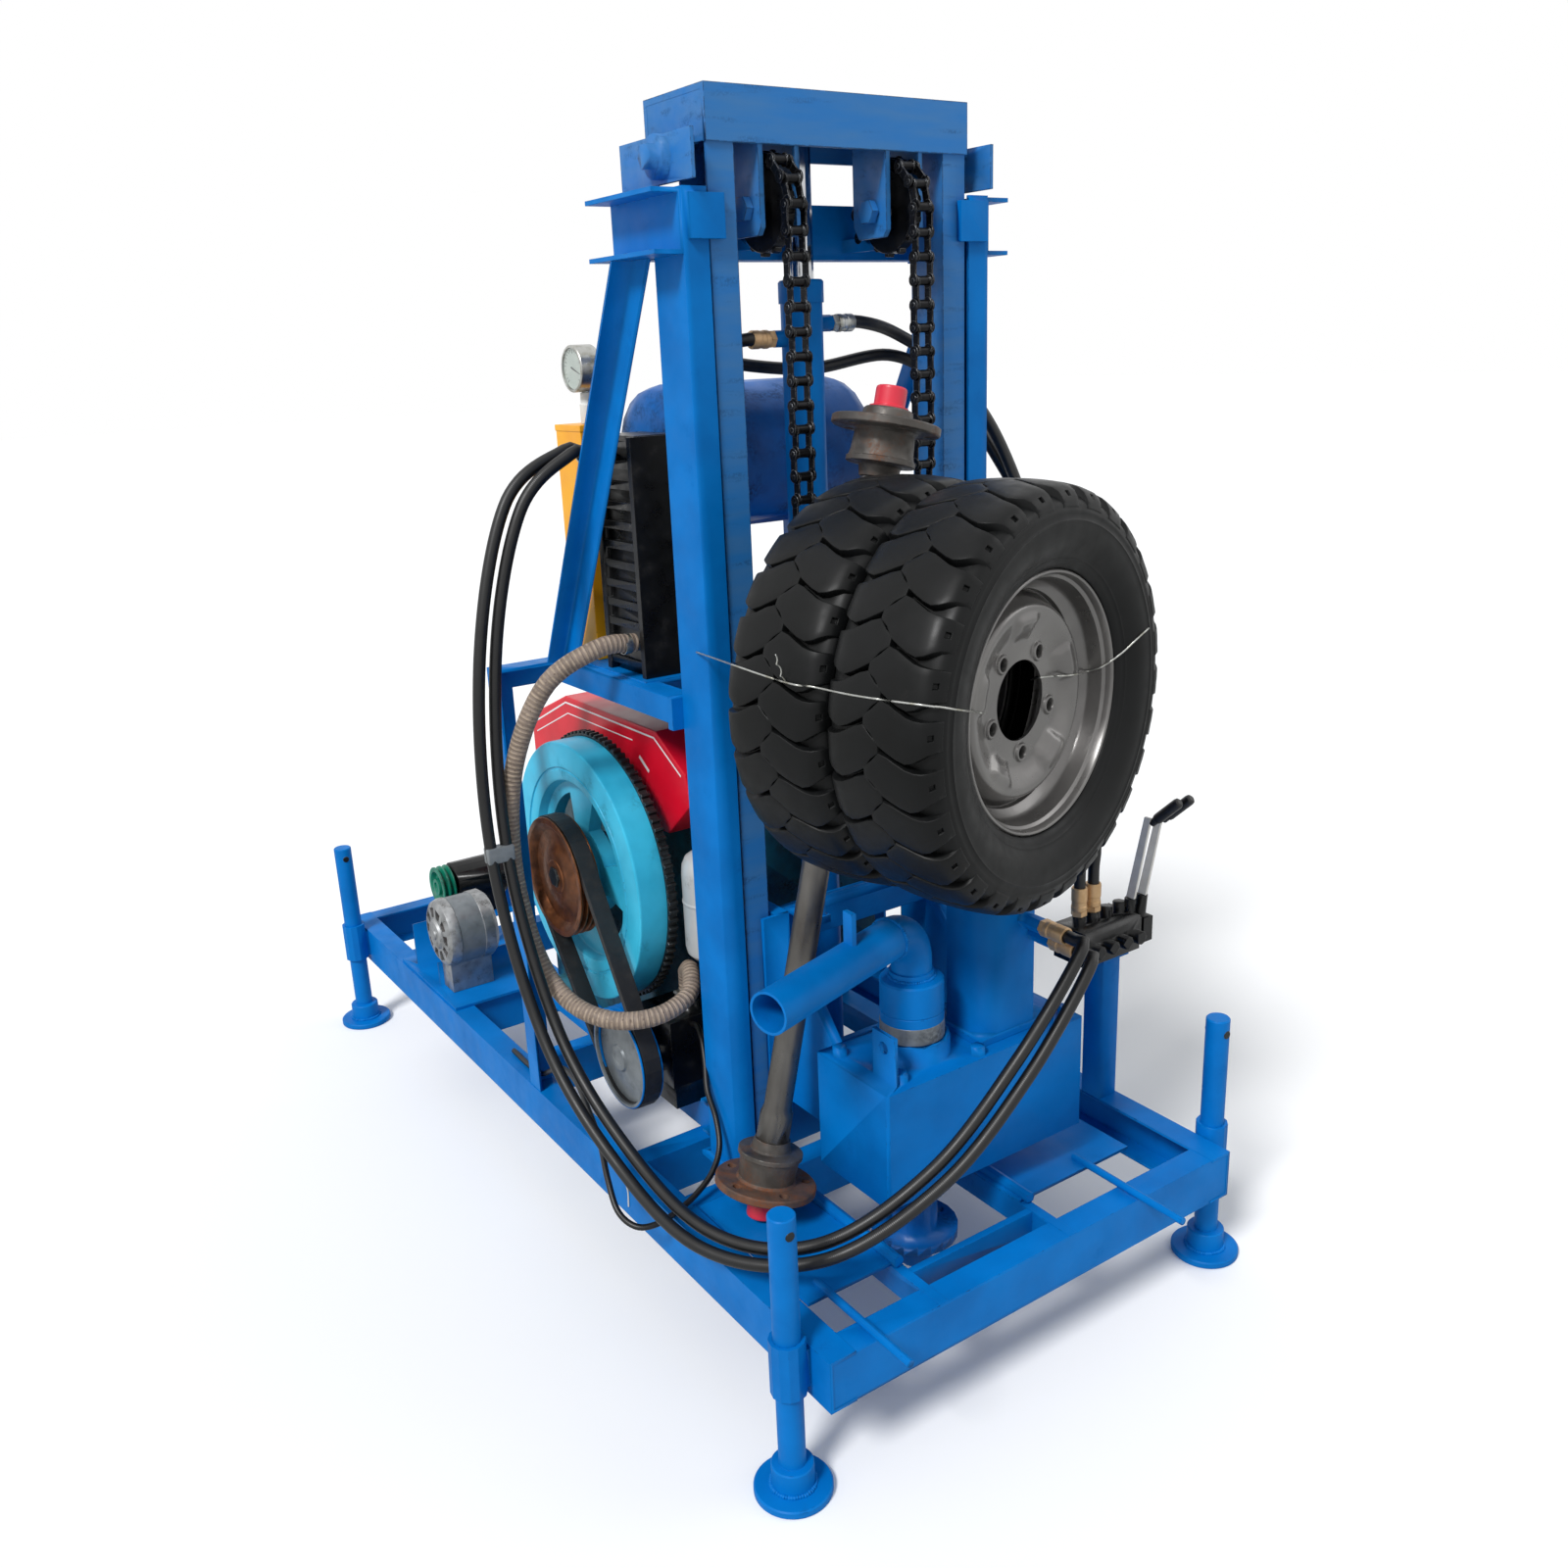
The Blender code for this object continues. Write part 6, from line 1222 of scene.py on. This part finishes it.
skin = swept(outlet_path(SWIVEL.z + 0.130, 0.330), PIPE_R, 48)
bore = swept(outlet_path(SWIVEL.z + 0.152, 0.345), PIPE_R - PIPE_WALL, 48)
swivel_place = Matrix.Translation(SWIVEL)
body = turned(mm((0, 0), (47, 0), (47.5, 1), (47.5, 70), (46.5, 71.2), (47.5, 72.4), (47.5, 118), (45, 121),
                 (35, 123), (33, 125), (33, 133), (0, 134)), swivel_place, 64)
x, y, z = corner + outlet_way * 0.150
tab = slab(x - 0.004, x + 0.004, y - 0.010, y + 0.010, z + PIPE_R - 0.003, z + PIPE_R + 0.045, 0.001)
gland = turned(mm((47, 30), (48.2, 30.5), (48.2, 56), (47, 56.5)), swivel_place, 64, closed=True)
piece("water_swivel_pipe", [(cut(skin, [bore]), blue), (body, blue), (tab, blue), (gland, grey_disc)],
      "drill_head", ["water_swivel"], 30)
across = outlet_way.cross(UP)
seam_at = corner + outlet_way * (BEND_R + 0.004)
seam = [seam_at + (across * x + UP * y) * (PIPE_R + 0.0004) for x, y in circle(1, 28, shut=True)]
seat = [SWIVEL + Vector((x, y, 0.1235)) for x, y in circle(0.0335, 28, shut=True)]
grow("water_swivel_welds", welds, {"Width": 0.0030, "Step": 0.0034, "Material": blue}, "drill_head",
     lines=[seam, seat])
print("small pieces turned")

# %% [markdown]
# ## Hose ends
# A hydraulic hose ends in a pressed steel sleeve and a union nut, plated with yellow or clear zinc. The
# suction hose is only pushed on and held by a worm clamp at each end, because it never sees pressure.

# %% Sleeves, nuts and clamps
def hose_end(name, at, way, metal, long):
    """A pressed sleeve over the last stretch of a hose and the nut at its tip, looking along way."""
    place = on_axis(at, -Vector(way))

    def collar(steps, *rows):
        """Rows in millimetres: out from the hose's skin, back from its tip."""
        return turned([(HOSE_R + out, back) for out, back in mm(*rows)], place, steps, closed=True)

    sleeve = collar(36, (0.2, 10), (3, 10), (3.8, 12), (3.8, 18), (3, 19), (3, 26), (3.8, 27),
                    (3.8, long - 2), (2.8, long), (0.2, long))
    nut = collar(6, (0.1, 0.4), (3, 0.4), (4, 1.4), (4, 9.6), (0.1, 10))
    piece(name, [(sleeve, metal), (nut, metal)], "base", (), 30)


for i, (side, z) in enumerate(CYL_PORTS):
    hose_end("lift_hose_%d_valve_end" % (i + 1), (valve_port_x(i), VALVE.y, VALVE_PORT_Z), (0, 0, -1),
             gilded_zinc, 50)
    hose_end("lift_hose_%d_cylinder_end" % (i + 1), (side * CYL_X, CYL_Y, z), (-side, 0, 0),
             gilded_zinc if i else zinc, 40)
    at = Vector(PAIR[0][0]) + Vector(PAIR[0][1]) * i
    hose_end("motor_hose_%d_cooler_end" % (i + 1), at, (1, 0, 0), zinc, 30)
    px, pz = PORTS[i]
    hose_end("motor_hose_%d_motor_end" % (i + 1), (px, MOTOR_PORT_Y, pz), (0, 1, 0), gilded_zinc, 48)


def clamp(name, at, way, radius):
    place = on_axis(at, way)
    band = turned([(radius, -0.006), (radius + 0.0012, -0.006), (radius + 0.0012, 0.006), (radius, 0.006)],
                  place, 48, closed=True)
    lock = slab(radius + 0.0005, radius + 0.0070, -0.007, 0.007, -0.005, 0.005, 0.001)
    lock.transform(place)
    screw = rod((radius + 0.004, -0.012, 0), (radius + 0.004, 0.010, 0), 0.0032, 16)
    screw.transform(place)
    piece(name, [(band, zinc), (lock, zinc), (screw, zinc)], "base", (), 30)


clamp("suction_hose_upper_clamp", (-0.2720, -0.300, 1.062), (1, 0, 0), 0.0147)
clamp("suction_hose_lower_clamp", (-0.222, -0.334, 0.4700), (0, 0, 1), 0.0147)
print("hose ends fitted")

# %% [markdown]
# ## Wire and clip
# The wheels are tied to the mast with thin wire that a hand has twisted. The wire lies on the tyres, so
# each of its points is found where a line from the camera through that place of the photograph meets the
# rubber, and then lifted by a little more than the wire's thickness. A clip holds the two motor hoses.

# %% Wire over the wheels
TYRES = ("tyre_front_carcass", "tyre_front_tread", "tyre_rear_carcass", "tyre_rear_tread", "rim_front_steel")
WIRE_R, WIRE_LIFT = 0.0013, 0.0018
eye = camera.matrix_world.translation.copy()
looking = camera.matrix_world.to_3x3()
front_limit = cad_box[0][1] + WIRE_R + 0.0002
tyre_trees = []
for name in TYRES:
    data = bpy.data.objects[name].data
    tyre_trees.append(BVHTree.FromPolygons([v.co for v in data.vertices],
                                           [p.vertices for p in data.polygons]))


def first_hit(way):
    hits = [tree.ray_cast(eye, way) for tree in tyre_trees]
    hits = [(hit[3], hit[0]) for hit in hits if hit[0] is not None]
    return min(hits)[1] if hits else None


def on_tyres(*pixels):
    """Where the lines from the camera through these pixels of the photograph meet the wheels."""
    middle = PHOTO_SIDE / 2
    ways = [looking @ Vector(((u - middle) / FOCAL, (middle - v) / FOCAL, -1)) for u, v in pixels]
    hits = [first_hit(way.normalized()) for way in ways]
    return [at for at in hits if at is not None]


def lying(points):
    """Lifts each point that is inside the rubber to its surface, on the line from the camera."""
    result = []
    for point in points:
        way = (point - eye).normalized()
        hit = first_hit(way)
        if hit is not None and (hit - eye).length < (point - eye).length + WIRE_LIFT:
            point = hit - way * WIRE_LIFT
        result.append(Vector((point.x, max(point.y, front_limit), point.z)))
    return result


column_knot = FORWARD @ Vector((-0.2652, -0.502, 1.079))
crossing = on_tyres((797, 695), (830, 701), (868, 709), (907, 715), (945, 720), (975, 724), (1005, 728))
left = lying(flow([column_knot] + crossing, 0.005))
right = lying(flow(on_tyres((1056, 692), (1075, 690), (1093, 689), (1110, 685), (1125, 680), (1145, 666),
                            (1160, 652), (1172, 641)), 0.005))
away = looking @ Vector((0, 0, -0.030))
left = left + [left[-1] + away * 0.5, left[-1] + away]
right = [right[0] + away, right[0] + away * 0.5] + right + [right[-1] + away * 0.5, right[-1] + away]
twist = [crossing[0] + Vector((WIRE_LIFT * math.cos(t * 5) - 0.004 * t, -0.006,
                               WIRE_LIFT * math.sin(t * 5) + 0.012 * t))
         for t in [i * 0.12 for i in range(24)]]
for name, line, radius in (("wheel_wire_left", left, WIRE_R), ("wheel_wire_right", right, WIRE_R),
                           ("wheel_wire_twist", twist, 0.0010)):
    piece(name, [(swept(line, radius, 8), zinc)], "drill_head", (), 60, moved=False)
clip = slab(-0.5102, -0.4660, -0.2502, -0.2298, 0.7400, 0.7660, 0.003)
piece("motor_hose_clip", [(clip, grey_disc)], "base", (), 20)
print("wires tied")

# %% [markdown]
# ## Light and floor
# A pale seamless floor and a soft sky light the rig evenly, with a broad lamp from the front left for
# shape and a weak one from the front right. The world is plain white to the camera and in reflections.

# %% Studio
def studio():
    world = bpy.data.worlds.new("studio")
    world.use_nodes = True
    tree = world.node_tree
    tree.nodes.clear()
    path = add(tree, "ShaderNodeLightPath").outputs
    seen = multiplied(tree, multiplied(tree, path["Is Camera Ray"], path["Is Glossy Ray"], "MAXIMUM"),
                      path["Is Transmission Ray"], "MAXIMUM")
    soft = add(tree, "ShaderNodeBackground", {"Color": linear("#F4F7FA"), "Strength": 0.56}).outputs[0]
    white = add(tree, "ShaderNodeBackground", {"Color": (1, 1, 1, 1), "Strength": 1.0}).outputs[0]
    mixed = add(tree, "ShaderNodeMixShader", {0: seen, 1: soft, 2: white}).outputs[0]
    add(tree, "ShaderNodeOutputWorld", {"Surface": mixed})
    bpy.context.scene.world = world
    floor_mesh = bpy.data.meshes.new("floor")
    floor_mesh.from_pydata(mm((-40000, -40000, 0), (40000, -40000, 0), (40000, 40000, 0),
                              (-40000, 40000, 0)), [], [(0, 1, 2, 3)])
    material, tree, shader, where = blank("seamless_floor")
    path = add(tree, "ShaderNodeLightPath").outputs
    pale = blended(tree, path["Is Camera Ray"], linear("#D4D4D2"), (1.0, 1.0, 1.0, 1.0))
    tree.links.new(pale, shader.inputs["Base Color"])
    shader.inputs["Roughness"].default_value = 0.9
    shader.inputs["Specular IOR Level"].default_value = 0.0
    floor_mesh.materials.append(material)
    floor = bpy.data.objects.new("floor", floor_mesh)
    bpy.context.scene.collection.objects.link(floor)
    for name, angles, strength, size in (("key", (44, 0, -66), 2.4, 14), ("fill", (58, 0, 62), 0.30, 30)):
        lamp = bpy.data.lights.new(name, "SUN")
        lamp.energy = strength
        lamp.angle = math.radians(size)
        holder = bpy.data.objects.new(name, lamp)
        holder.rotation_euler = [math.radians(v) for v in angles]
        bpy.context.scene.collection.objects.link(holder)
    bpy.context.scene.view_settings.view_transform = "Standard"


studio()
